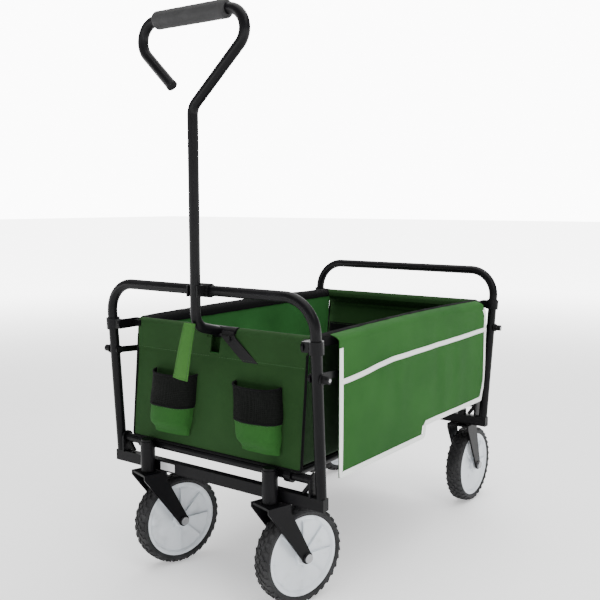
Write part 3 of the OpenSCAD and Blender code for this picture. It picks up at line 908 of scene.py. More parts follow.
@dataclass
class Workshop:
    """What every sub-assembly needs: finishes and the two growing trees."""

    paints: Paints = field(default_factory=Paints)
    stitches: StitchTree = field(default_factory=StitchTree)
    tread: TreadTree = field(default_factory=TreadTree)

    def sheet(
        self,
        name: str,
        draft: Draft,
        finish: str,
        body: str | None,
        slot: str,
        nodes: Sequence[str] = (),
        thickness: float = 0.0012,
        width: float = 0.4,
        held: str = "stretched",
        rests_on: Sequence[str] = (),
        extra: Sequence[bpy.types.Mesh] = (),
    ) -> bpy.types.Object:
        """Args:
            name: the piece's name.
            draft: the cloth's middle surface.
            finish: name of its finish.
            body: the body that it rides on.
            slot: the record's slot; not used.
            nodes: CAD nodes that it stands for.
            thickness: the cloth's thickness.
            width: the flat cut's width; its length follows from the area.
            held: how the cloth is held; not used.
            rests_on: what holds it.
            extra: stitches that lie on it, made a piece of their own.

        Returns:
            The piece.
        """
        flat = draft.mesh(name)
        area = area_of(flat)
        made = publish(
            name, painted(thickened(flat, thickness), self.paints[finish]), body, nodes, 50.0
        )
        if extra:
            trim = publish(f"{name}_stitching", joined(f"{name}_stitching", extra), body)
        area / width
        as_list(rests_on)
        return made


# ---- tub --------------------------------------------------------------------------------


@dataclass
class EndPanel:
    """Cloth panel at one end of the tub, wrapped over its end rail."""

    shop: Workshop
    foot_y: float
    rail_y: float
    out: int
    body: Body
    node: str
    finish: str
    half_w: float = 0.2035
    wrap_r: float = 0.0085
    flap_z: float = 0.428
    notch: tuple[float, float, float] | None = None

    def face_y(self, z: float) -> float:
        """Y of the panel's face at height z."""
        top = LAYOUT.rail_z
        foot = self.foot_y + self.out * 0.003
        head = self.rail_y + self.out * self.wrap_r
        share = (z - LAYOUT.panel_base) / (top - LAYOUT.panel_base)
        return foot + (head - foot) * share

    def profile(self, low: float, radius: float, inner_z: float) -> list[tuple[float, float]]:
        """Cross-section (y, z) from low on the outside, over the rail, to inner_z inside."""
        lift = (radius - self.wrap_r) * self.out
        rows = [(self.face_y(z) + lift, z) for z in spread(low, LAYOUT.rail_z, 14)]
        for i in range(1, 11):
            a = math.pi * i / 10
            rows.append(
                (
                    self.rail_y + self.out * radius * math.cos(a),
                    LAYOUT.rail_z + radius * math.sin(a),
                )
            )
        inside = self.rail_y - self.out * radius
        rows.append((inside, LAYOUT.rail_z - 0.006))
        if inner_z < 0.460:
            rows.append((self.rail_y - self.out * 0.5 * radius, 0.462))
            rows += [(self.face_y(z) - self.out * 0.0016, z) for z in (0.454, inner_z)]
        return rows

    def cut(self, x: float, z: float, over: bool) -> bool:
        """True where the panel leaves room for the handle's sleeve and collar."""
        if self.notch is None:
            return False
        low, high, bottom = self.notch
        slot = abs(x) < SLOT_HALF and z > bottom
        return slot or (low < x < high and (z > COLLAR_LOW or over))

    def sheet(
        self, name: str, low: float, radius: float, inner_z: float, swell: float, half: float
    ) -> Draft:
        """Returns one wrapped layer of cloth with soft upright folds."""
        rows = self.profile(low, radius, inner_z)
        run = [0.0]
        for a, b in zip(rows, rows[1:]):
            run.append(run[-1] + math.dist(a, b))
        columns = spread(-half, half, 68)
        if self.notch:
            columns = sorted(set(columns) | {*self.notch[:2], -SLOT_HALF, SLOT_HALF})

        def shape(u: float, v: float) -> Point:
            """Point across at u and along the section at v."""
            index = min(range(len(run)), key=lambda k: abs(run[k] - v))
            y, z = rows[index]
            free = math.sin(math.pi * min(1.0, max(0.0, (z - 0.262) / 0.205))) if index < 14 else 0.0
            fold = ripple(u * 13.0, z * 4.0, self.foot_y) + 0.5 * ripple(u * 34.0, z * 9.0, 4.0)
            sag = 0.004 * (1.0 - (u / half) ** 2)
            pull = 0.006 * (1.0 - eased((z - low) / 0.12)) if low < 0.3 else 0.0
            width = u * (1.0 - pull)
            return (width, y + self.out * free * (swell * fold + sag), z)

        def skip(u: float, v: float) -> bool:
            """True in the notch."""
            index = min(range(len(run)), key=lambda k: abs(run[k] - v))
            return self.cut(u, rows[index][1], index >= 14)

        return Draft().grid(shape, columns, run, skip)

    def build(self) -> None:
        """Makes the panel, its flap with a stitched hem, and the black piping at its foot."""
        main = self.sheet("panel", 0.2555, self.wrap_r, 0.448, 0.0034, self.half_w)
        rail = "front_rail" if self.out < 0 else "rear_rail"
        self.shop.sheet(
            self.node + "_cloth", main, self.finish, self.body, "tub_fabric", [self.node],
            width=2 * self.half_w, rests_on=[rail],
        )
        flap = self.sheet("flap", self.flap_z, self.wrap_r + 0.0016, 0.47, 0.0034, self.half_w + 0.001)
        seam_z = self.flap_z + 0.004
        seam = []
        for x in spread(-self.half_w, self.half_w, 60):
            if self.notch is None or abs(x) > SLOT_HALF:
                free = math.sin(math.pi * (seam_z - 0.262) / 0.205)
                fold = ripple(x * 13.0, seam_z * 4.0, self.foot_y) + 0.5 * ripple(
                    x * 34.0, seam_z * 9.0, 4.0
                )
                sag = 0.004 * (1.0 - (x / self.half_w) ** 2)
                y = self.face_y(seam_z) + self.out * (0.0024 + free * (0.0034 * fold + sag))
                seam.append((x, y, seam_z))
        middle = next((i for i, p in enumerate(seam) if p[0] > 0.0), 0)
        parts = [seam[:middle], seam[middle:]] if self.notch else [seam]
        threads = [self.shop.stitches.run(p, self.shop.paints["thread"]) for p in parts]
        self.shop.sheet(
            self.node + "_flap", flap, self.finish, self.body, "tub_fabric",
            width=2 * self.half_w, rests_on=[rail], extra=threads,
        )
        self.piping()
        if self.notch:
            self.backing()
        else:
            self.liner()

    def backing(self) -> None:
        """Cloth behind the slot for the handle, in the end panels' green that is painted darker as
        shade.
        """
        y = self.rail_y + 0.0135
        low, high = self.notch[0] - 0.008, self.notch[1] + 0.008
        draft = Draft().grid(
            lambda u, v: (low + u, y - 0.10 * v, 0.484 - v),
            spread(0.0, high - low, 16), spread(0.0, 0.050, 10),
        )
        self.shop.sheet(
            self.node + "_backing", draft, "panel_painted_shade", self.body, "tub_fabric",
            width=high - low, rests_on=["front_rail"],
        )

    def liner(self) -> None:
        """Black liner over the lower part of the panel's inside."""

        def shape(u: float, v: float) -> Point:
            """Point across at u and v above the liner's foot."""
            z = 0.2585 + v
            fold = ripple(u * 10.0, z * 5.0, 8.0)
            return (u, self.face_y(z) - 0.0052 - 0.0012 * fold, z)

        draft = Draft().grid(shape, spread(-0.196, 0.196, 60), spread(0.0, 0.144, 20))
        edge = [(x, y - 0.0009, z) for x, y, z in (shape(u, 0.141) for u in spread(-0.19, 0.19, 60))]
        self.shop.sheet(
            self.node + "_liner", draft, "black_cloth", self.body, "floor_fabric", width=0.392,
            rests_on=["rear_panel_cloth"],
            extra=[self.shop.stitches.run(edge, self.shop.paints["thread"])],
        )

    def piping(self) -> None:
        """Black cord sewn into the panel's lower and upright edges."""
        z0 = 0.2555
        path = [Vector((-self.half_w, self.face_y(z), z)) for z in spread(0.455, z0 + 0.004, 12)]
        path += [
            Vector((x, self.face_y(z0) + self.out * 0.001, z0))
            for x in spread(-self.half_w + 0.004, self.half_w - 0.004, 40)
        ]
        path += [Vector((self.half_w, self.face_y(z), z)) for z in spread(z0 + 0.004, 0.455, 12)]
        mesh = tube_mesh(self.node + "_piping", path, 0.0026, 10)
        publish(
            self.node + "_piping",
            painted(mesh, self.shop.paints["black_cloth"]),
            self.body,
        )


@dataclass
class SideWall:
    """Cloth wall that hangs under one side rail."""

    shop: Workshop
    side: Side
    top: float = 0.4745
    foot: float = 0.269

    def build(self) -> None:
        """Makes the wall, its binding strip and the sleeves round the rail."""
        start = LAYOUT.pivot_y + 0.006
        length = LAYOUT.base_len - 0.012
        sign = self.side.value
        slope = LAYOUT.shift / (LAYOUT.rail_z - LAYOUT.panel_base)

        def shape(u: float, v: float) -> Point:
            """Point at u along the wall and v down its cut."""
            drop = min(1.0, v / (self.top - self.foot))
            tuck = max(0.0, v - (self.top - self.foot)) / 0.028
            z = self.top - drop * (self.top - self.foot) - 0.012 * math.sin(0.5 * math.pi * tuck)
            ends = math.sin(math.pi * min(1.0, max(0.0, u / length)))
            fold = ripple(u * 11.0, v * 5.0, 7.0 + sign) + 0.45 * ripple(u * 31.0, v * 8.0, 2.0)
            belly = math.sin(math.pi * drop) * ends * eased((v - 0.018) / 0.04)
            x = LAYOUT.rail_x - 0.0106 + 0.0060 * fold * belly
            x -= 0.026 * (1.0 - math.cos(0.5 * math.pi * tuck))
            return (sign * x, start + u - slope * (LAYOUT.rail_z - z), z)

        height = self.top - self.foot
        rows = spread(0.0, height, 26) + spread(height, height + 0.028, 7)[1:]
        draft = Draft().grid(shape, spread(0.0, length, 110), rows)
        made = self.shop.sheet(
            f"side_wall_{self.side.word}_cloth", draft, "green", Body.FRONT, "tub_fabric",
            [f"side_wall_{self.side.word}"], width=length, held="hung",
            rests_on=[f"rail_front_{self.side.word}", f"rail_rear_{self.side.word}"],
        )
        # On the right, the wall's outer face takes painted shade where it shows beside the bag.
        if self.side is Side.RIGHT:
            self.line_outside(made)
        strip = self.binding(start, length)
        for piece in (made, strip):
            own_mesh(piece)
        self.covers()

    def line_outside(self, wall: bpy.types.Object) -> None:
        """Paints the wall's outer face a darker green, as painted shade where it shows beside the bag.
        """
        wall.data.materials.append(self.shop.paints["deep"])
        for face in wall.data.polygons:
            if face.normal.x * self.side.value > 0.3:
                face.material_index = 1

    def binding(self, start: float, length: float) -> bpy.types.Object:
        """Makes the black strip that is folded over the rail along the wall's top."""
        path = ((0.1970, 0.4700), (0.1972, 0.4752), (0.1990, 0.4806), (0.2038, 0.4850), (0.2090, 0.4874),
                (0.2142, 0.4850), (0.2180, 0.4800), (0.2196, 0.4730), (0.2198, 0.4680))

        def shape(u: float, v: float) -> Point:
            """Point at u along the rail and v round it."""
            x, z = path[int(round(v / 0.005))]
            bow = 0.004 * math.sin(math.pi * min(1.0, max(0.0, u / length))) if z > 0.47 else 0.0
            return (self.side.value * x, start + u, z + bow + 0.0007 * ripple(u * 34.0, v * 70.0, 1.0))

        draft = Draft().grid(shape, spread(0.0, length, 100), [0.005 * i for i in range(len(path))])
        name = f"wall_binding_{self.side.word}"
        return self.shop.sheet(
            name, draft, "black_cloth", Body.FRONT, "floor_fabric", width=length,
            rests_on=[f"rail_front_{self.side.word}", f"rail_rear_{self.side.word}"],
        )

    def covers(self) -> None:
        """Black binding sleeves round the two halves of the rail."""
        far = LAYOUT.pivot_y + LAYOUT.base_len
        middle = LAYOUT.pivot_y + 0.5 * LAYOUT.base_len
        spans = (
            ("front", LAYOUT.pivot_y + 0.020, middle - 0.036),
            ("rear", middle + 0.036, far - 0.020),
        )
        for word, low, high in spans:
            x = self.side.value * LAYOUT.rail_x
            path = [Vector((x, y, LAYOUT.rail_z)) for y in spread(low, high, 60)]
            sides = 20
            draft = Draft()

            def shape(u: float, v: float) -> Point:
                """Point at angle u and place v on the sleeve."""
                centre = path[int(v)]
                r = 0.0086 + 0.0006 * ripple(u * 1.3, centre.y * 40.0, 3.0)
                return (centre.x + r * math.cos(u), centre.y, centre.z + r * math.sin(u))

            angles = [2.0 * math.pi * i / sides for i in range(sides)]
            draft.grid(shape, angles, list(range(len(path))), wrap=True)
            mesh = painted(thickened(draft.mesh("cover"), 0.0010), self.shop.paints["black_cloth"])
            publish(
                f"rail_binding_{word}_{self.side.word}", mesh,
                f"rail_{word}_{self.side.word}",
            )


@dataclass
class Pouch:
    """Drink pouch: gathered green cup with a black mesh band round its mouth."""

    shop: Workshop
    side: Side
    centre: float
    lean: float
    half: float = 0.049
    foot: float = 0.2790
    band: float = 0.334
    top: float = 0.394

    def back_y(self, z: float) -> float:
        """Y of the panel behind the pouch at height z."""
        share = (z - LAYOUT.panel_base) / (LAYOUT.rail_z - LAYOUT.panel_base)
        foot, head = LAYOUT.front_y - 0.003, LAYOUT.pivot_y - 0.0085
        return foot + (head - foot) * share - 0.0042

    def section(self, u: float, z: float) -> Point:
        """Point at u from -1 to 1 round the pouch at height z."""
        t = (z - self.foot) / (self.top - self.foot)
        swell = eased(t / 0.22)
        deep = 0.010 + 0.022 * swell * (1.0 - 0.25 * eased((t - 0.35) / 0.4))
        half = self.half * (0.90 + 0.10 * eased((t - 0.40) / 0.16) - 0.10 * (1.0 - eased(t / 0.3)))
        a = 0.5 * math.pi * (1.0 - u)
        round_x = math.copysign(abs(math.cos(a)) ** 0.75, math.cos(a))
        x = self.centre + self.lean * (t - 0.5) + half * round_x
        crumple = ripple(u * 3.1, z * 26.0, self.centre * 9.0) * 0.0022
        y = self.back_y(z) - (deep + crumple) * math.sin(a) ** 0.8
        droop = 0.004 * math.sin(a) * eased((t - 0.8) / 0.2)
        return (x, y, z - droop)

    def build(self) -> None:
        """Makes the cup, the band, and the black tape round the band's edges."""
        us = spread(-1.0, 1.0, 40)
        cup = Draft()
        low = spread(self.foot, self.band + 0.002, 16)

        def bottom(u: float, v: float) -> Point:
            """Point on the pouch's floor, v from 0 at the panel to 1 at its rim."""
            x, y, z = self.section(u, self.foot)
            back = self.back_y(self.foot)
            return (self.centre + (x - self.centre) * (0.35 + 0.65 * v), back + (y - back) * v, z)

        arc = 2.4 * self.half
        flat_us = [u * arc / 2.0 for u in us]
        cup.grid(lambda u, v: bottom(u / arc * 2.0, v / 0.03), flat_us, spread(0.0, 0.03, 4))
        cup.grid(lambda u, v: self.section(u / arc * 2.0, v), flat_us, low)
        word = self.side.word
        hem = [self.section(u, self.band - 0.003) for u in spread(-0.96, 0.96, 60)]
        hem = [(x, y - 0.0013, z) for x, y, z in hem]
        made = self.shop.sheet(
            f"pouch_{word}", cup, "bag", Body.FRONT, "tub_fabric", [f"cup_holder_{word}"],
            width=0.15, rests_on=["front_panel_cloth"],
            extra=[self.shop.stitches.run(hem, self.shop.paints["thread"])],
        )
        LOG.info("%s hangs on the panel", made.name)
        net = Draft().grid(
            lambda u, v: self.section(u / arc * 2.0, v), flat_us, spread(self.band, self.top, 14)
        )
        self.shop.sheet(
            f"pouch_net_{word}", net, "net", Body.FRONT, "floor_fabric",
            thickness=0.0014, width=0.15, rests_on=["front_panel_cloth"],
        )
        for label, z in (("rim", self.top), ("seam", self.band)):
            path = [Vector(self.section(u, z)) for u in spread(-0.99, 0.99, 48)]
            mesh = painted(tube_mesh("tape", path, 0.0021, 10), self.shop.paints["black_cloth"])
            publish(f"pouch_{label}_{word}", mesh, Body.FRONT)


@dataclass
class SideBag:
    """Flat bag on the right side with white piping and a pocket line."""

    shop: Workshop
    x: float = 0.2385
    front: float = -0.308
    rear: float = 0.303
    step: float = 0.004
    top: float = 0.474

    def foot_z(self, y: float) -> float:
        """Height of the bag's lower edge at y."""
        slope = 0.236 - 0.002 * (y - self.front)
        if y <= self.step:
            return slope
        return 0.262 - 0.003 * (y - self.step) / (self.rear - self.step)

    def edge_y(self, share: float, z: float) -> float:
        """Y at a share of the bag's length, its rear edge drawn in towards the bottom."""
        low = eased((z - 0.262) / 0.05)
        rear = self.rear - 0.016 + 0.016 * low
        rear -= 0.012 * eased((z - 0.455) / 0.02)
        return self.front + share * (rear - self.front)

    def face_x(self, y: float, z: float) -> float:
        """X of the bag's face: flat at its edges and softly swollen between them."""
        s = (y - self.front) / (self.rear - self.front)
        t = (z - 0.24) / (self.top - 0.24)
        belly = max(0.0, math.sin(math.pi * min(1.0, max(0.0, s)))) ** 0.6
        belly *= max(0.0, math.sin(math.pi * min(1.0, max(0.0, t)))) ** 0.7
        fold = ripple(y * 9.0, z * 4.0, 11.0) + 0.5 * ripple(y * 27.0, z * 6.0, 5.0)
        return self.x + 0.0050 * belly + 0.0034 * fold * belly

    def pocket_z(self, y: float) -> float:
        """Height of the pocket's mouth at y."""
        s = (y - self.front) / (self.rear - self.front)
        return 0.405 + 0.013 * eased(s / 0.32) + 0.004 * s

    def tape(
        self, name: str, middle: Sequence[tuple[float, float]], wide: float, lift: float
    ) -> bpy.types.Mesh:
        """Returns flat white tape along (y, z) points, standing lift off the cloth."""
        draft = Draft()
        count = len(middle)

        def shape(u: float, v: float) -> Point:
            """Point across the tape at u, at path point v."""
            i = int(round(v / 0.01))
            before, after = middle[max(i - 1, 0)], middle[min(i + 1, count - 1)]
            along = Vector((after[0] - before[0], after[1] - before[1])).normalized()
            y = middle[i][0] - along.y * u
            z = middle[i][1] + along.x * u
            crown = lift + 0.0008 * math.cos(math.pi * u / wide)
            return (self.face_x(y, z) + crown, y, z)

        draft.grid(shape, spread(-0.5 * wide, 0.5 * wide, 6), [0.01 * i for i in range(count)])
        return painted(thickened(draft.mesh(name), 0.0010), self.shop.paints["white_tape"])

    def outline(self) -> list[tuple[float, float]]:
        """Path (y, z) of the piping, from the top front corner round to the top rear."""
        inset = 0.004
        head, foot = self.top - 0.010, self.foot_z(self.front) + inset
        path = [(self.front + inset, z) for z in spread(head, foot, 26)]
        path += [
            (y, self.foot_z(y) + inset) for y in spread(self.front + inset, self.step - 0.001, 30)[1:]
        ]
        path += [(self.step + 0.002, z) for z in spread(0.245, 0.262, 3)]
        path += [(y, self.foot_z(y) + inset) for y in spread(self.step + 0.006, self.rear - 0.020, 26)]
        path += [
            (self.edge_y(1.0, z) - inset, z) for z in spread(0.267, self.top - 0.004, 26)
        ]
        return path

    def build(self) -> None:
        """Makes the bag, its tapes, and the strip of bag cloth that joins it to the rail."""

        def shape(u: float, v: float) -> Point:
            """Point at a share u of the length and v below the top."""
            share = u / (self.rear - self.front)
            y = self.edge_y(share, 0.3)
            low = self.foot_z(y)
            z = self.top - v / 0.236 * (self.top - low)
            y = self.edge_y(share, z)
            return (self.face_x(y, z), y, z)

        length = self.rear - self.front
        split = self.step - self.front
        after = split + 0.0012
        columns = sorted(set(spread(0.0, split, 56) + [after] + spread(after, length, 50)))
        draft = Draft().grid(shape, columns, spread(0.0, 0.236, 34))
        bag = self.shop.sheet(
            "side_bag_cloth", draft, "bag", Body.FRONT, "tub_fabric", ["side_bag"],
            thickness=0.0014, width=length, held="hung",
            rests_on=["rail_front_right", "rail_rear_right"],
        )
        ys = spread(self.front + 0.004, self.rear - 0.004, 80)
        mouth = [(y, self.pocket_z(y)) for y in ys]
        tapes = [
            self.tape("edge", self.outline(), 0.0105, 0.0016),
            self.tape("mouth", mouth, 0.0095, 0.0016),
        ]
        white = publish("side_bag_tape", joined("side_bag_tape", tapes), Body.FRONT)
        lines = []
        for offset in (-0.0032, 0.0032):
            line = [(self.face_x(y, z + offset) + 0.0032, y, z + offset) for y, z in mouth]
            lines.append(self.shop.stitches.run(line, self.shop.paints["pale_thread"]))
        threads = publish(
            "side_bag_stitching", joined("side_bag_stitching", lines), Body.FRONT
        )

        def over(u: float, v: float) -> Point:
            """Point on the strip from the bag's top to the rail, v across it."""
            share = u / length
            y = self.edge_y(share, self.top)
            path = ((self.x - 0.0006, self.top - 0.012), (self.x + 0.0002, self.top - 0.003),
                    (self.x - 0.0008, self.top + 0.004), (0.2335, 0.4815), (0.2270, 0.4840),
                    (0.2195, 0.4862))
            x, z = path[int(round(v / 0.005))]
            bow = 0.004 * math.sin(math.pi * share) * min(1.0, v / 0.015)
            return (x, y, z + bow + 0.0008 * ripple(y * 30.0, v * 80.0, 1.0))

        top = Draft().grid(over, spread(0.0, length, 90), [0.005 * i for i in range(6)])
        strip = self.shop.sheet(
            "side_bag_top", top, "bag", Body.FRONT, "tub_fabric",
            width=length, held="stretched", rests_on=["rail_front_right", "rail_rear_right"],
        )
        for piece in (bag, white, threads, strip):
            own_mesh(piece)


@dataclass
class FloorPad:
    """Stiffened black cloth floor over one half of the base."""

    shop: Workshop
    word: str
    body: Body

    def build(self) -> None:
        """Makes a thin pad with rounded edges and two rows of stitches."""
        low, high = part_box(f"floor_board_{self.word}")
        edit = bmesh.new()
        bmesh.ops.create_cube(edit, size=1.0)
        middle = (low + high) / 2
        size = high - low
        bmesh.ops.scale(edit, vec=size, verts=edit.verts)
        bmesh.ops.translate(edit, vec=middle, verts=edit.verts)
        bmesh.ops.bevel(edit, geom=edit.edges, offset=0.0022, segments=3, affect="EDGES", profile=0.6)
        mesh = bpy.data.meshes.new("pad")
        edit.to_mesh(mesh)
        edit.free()
        layer = mesh.uv_layers.new(name="flat")
        for loop in mesh.loops:
            point = mesh.vertices[loop.vertex_index].co
            layer.data[loop.index].uv = (point.x, point.y)
        made = publish(
            f"floor_pad_{self.word}", painted(mesh, self.shop.paints["black_cloth"]), self.body,
            [f"floor_board_{self.word}"],
        )
        rows = []
        for inset in (0.010, 0.016):
            x, y0, y1 = size.x / 2 - inset, low.y + inset, high.y - inset
            corners = [(-x, y0), (x, y0), (x, y1), (-x, y1), (-x, y0)]
            rows.append(
                self.shop.stitches.run(
                    [(a, b, high.z + 0.0003) for a, b in corners], self.shop.paints["thread"], 0.007
                )
            )
        name = f"floor_stitching_{self.word}"
        publish(name, joined(name, rows), self.body)


@dataclass
class FloorCloth:
    """Black cloth floor that passes under the boards and over the base tubes."""

    shop: Workshop
    front: float = -0.3555
    rear: float = 0.2835
    hinge_half: float = 0.011

    def build(self) -> None:
        """Makes the cloth in one piece, with closer rows at the middle hinge."""
        edge = (
            (0.1655, 0.2419), (0.1687, 0.2430), (0.1691, 0.2520), (0.1712, 0.2553),
            (0.1780, 0.2560), (0.1920, 0.2556),
        )
        flat = [(x, 0.2419) for x in spread(-0.150, 0.150, 16)]
        path = [(-x, z) for x, z in reversed(edge)] + flat + list(edge)
        run = [0.0]
        for a, b in zip(path, path[1:]):
            run.append(run[-1] + math.dist(a, b))
        middle = LAYOUT.mid_y
        near, far = middle - self.hinge_half, middle + self.hinge_half
        rows = spread(self.front, near, 30) + spread(near, far, 10)[1:] + spread(far, self.rear, 30)[1:]

        def shape(u: float, v: float) -> Point:
            """Point at u across the cloth and v from its front edge."""
            x, z = path[min(range(len(run)), key=lambda k: abs(run[k] - u))]
            return (x, self.front + v, z)

        draft = Draft().grid(shape, run, [y - self.front for y in rows])
        made = self.shop.sheet(
            "floor_cloth", draft, "black_cloth", None, "floor_fabric",
            width=run[-1], held="laid", rests_on=["base_frame_front", "base_frame_rear"],
        )
        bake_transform(made)


# ---- running gear -----------------------------------------------------------------------


@dataclass
class Wheel:
    """Knobby tyre on a near-white hub with eight slanted facets."""

    shop: Workshop
    side: Side
    front: bool
    radius: float = 0.089
    hub_r: float = 0.073
    half: float = 0.019
    hub_half: float = 0.016

    @property
    def word(self) -> str:
        """The wheel's name in the CAD nodes."""
        return f"{'front' if self.front else 'rear'}_{self.side.word}"

    def place(self) -> Matrix:
        """Matrix from the wheel's own axes to the cart's."""
        if not self.front:
            return Matrix.Translation((self.side.value * 0.190, LAYOUT.rear_y + 0.040, self.radius))
        swivel = Matrix.Translation((self.side.value * 0.149, LAYOUT.front_y - 0.020, 0.0))
        turn = Matrix.Rotation(math.radians(-16.0), 4, "Z")
        return swivel @ turn @ Matrix.Translation((0.0, 0.062, self.radius))

    def tyre(self) -> bpy.types.Mesh:
        """Returns the tyre with five rows of lugs."""
        r, h, seat = self.radius - 0.0026, self.half, self.hub_r
        outer = [(-self.hub_half, seat), (-h + 0.0015, seat + 0.002), (-h + 0.0002, seat + 0.006),
                 (-h + 0.0010, r - 0.006), (-h + 0.0040, r - 0.0022), (-0.009, r - 0.0003), (0.0, r)]
        profile = outer + [(-x, radius) for x, radius in reversed(outer[:-1])]
        rubber = self.shop.paints["tyre"]
        body = painted(lathe_x(Draft(), profile, 96).mesh("tyre"), rubber)
        pitch = 2.0 * math.pi / 34
        rows = (
            (0.0, 0.0, 0.0, 0.0, (0.0050, 0.0085, 0.0052)),
            (0.0068, pitch / 2, 0.5, 0.10, (0.0062, 0.0075, 0.0050)),
            (-0.0068, pitch / 2, -0.5, -0.10, (0.0062, 0.0075, 0.0050)),
            (0.0138, 0.0, -0.35, 0.62, (0.0072, 0.0080, 0.0046)),
            (-0.0138, 0.0, 0.35, -0.62, (0.0072, 0.0080, 0.0046)),
        )
        parts = [body]
        for row, phase, slant, tilt, block in rows:
            drop = 0.0024 if abs(row) > 0.01 else 0.0003
            parts.append(
                self.shop.tread.grow(
                    bpy.data.meshes.new("row"), Lugs=34, Radius=r - 0.0006 - drop, Row=row,
                    Phase=phase, Slant=slant, Tilt=tilt, Block=block, Finish=rubber,
                )
            )
        return joined("tyre", parts)

    def hub(self) -> bpy.types.Mesh:
        """Returns the hub with its dished, pinwheel faces."""
        columns: list[tuple[float, float]] = []
        sectors, steps = 8, 6
        for sector in range(sectors):
            for i in range(steps + 1):
                angle = 2.0 * math.pi * (sector + i / steps) / sectors
                columns.append((angle, i / steps))
        flat = self.hub_half - 0.0045
        rings = ((0.0053, 0.0187, 0.0), (0.0140, 0.0187, 0.0), (0.0155, 0.0172, 0.0),
                 (0.0160, flat, 0.0), (0.0215, flat, 1.0), (0.0600, flat, 1.0),
                 (0.0640, flat, 0.15), (0.0672, self.hub_half - 0.0006, 0.0),
                 (0.0690, self.hub_half, 0.0), (self.hub_r - 0.0004, self.hub_half, 0.0))
        draft = Draft()
        for face in (-1, 1):

            def shape(u: float, v: float) -> Point:
                """Point on column u of ring v."""
                angle, rise = columns[int(u)]
                radius, height, share = rings[int(v)]
                x = height + share * 0.0048 * (rise - 0.35)
                return (face * x, radius * math.cos(angle), radius * math.sin(angle))

            draft.grid(shape, list(range(len(columns))), list(range(len(rings))), wrap=True)
        for radius, height in ((0.0053, 0.0187), (self.hub_r - 0.0004, self.hub_half)):
            draft.grid(
                lambda u, v, r=radius, h=height: (
                    v * h, r * math.cos(columns[int(u)][0]), r * math.sin(columns[int(u)][0])
                ),
                list(range(len(columns))), [-1.0, 1.0], wrap=True,
            )
        return painted(draft.mesh("hub", 2e-5), self.shop.paints["white"])

    def build(self) -> None:
        """Makes the tyre and the hub in place."""
        pieces = (("tyre", self.tyre(), "tyre", 30.0), ("hub", self.hub(), "hub_plastic", 14.0))
        for kind, mesh, slot, crease in pieces:
            mesh.transform(self.place())
            publish(
                f"{kind}_{self.word}_detailed", mesh, f"wheel_{self.word}",
                [f"{kind}_{self.word}"], crease,
            )


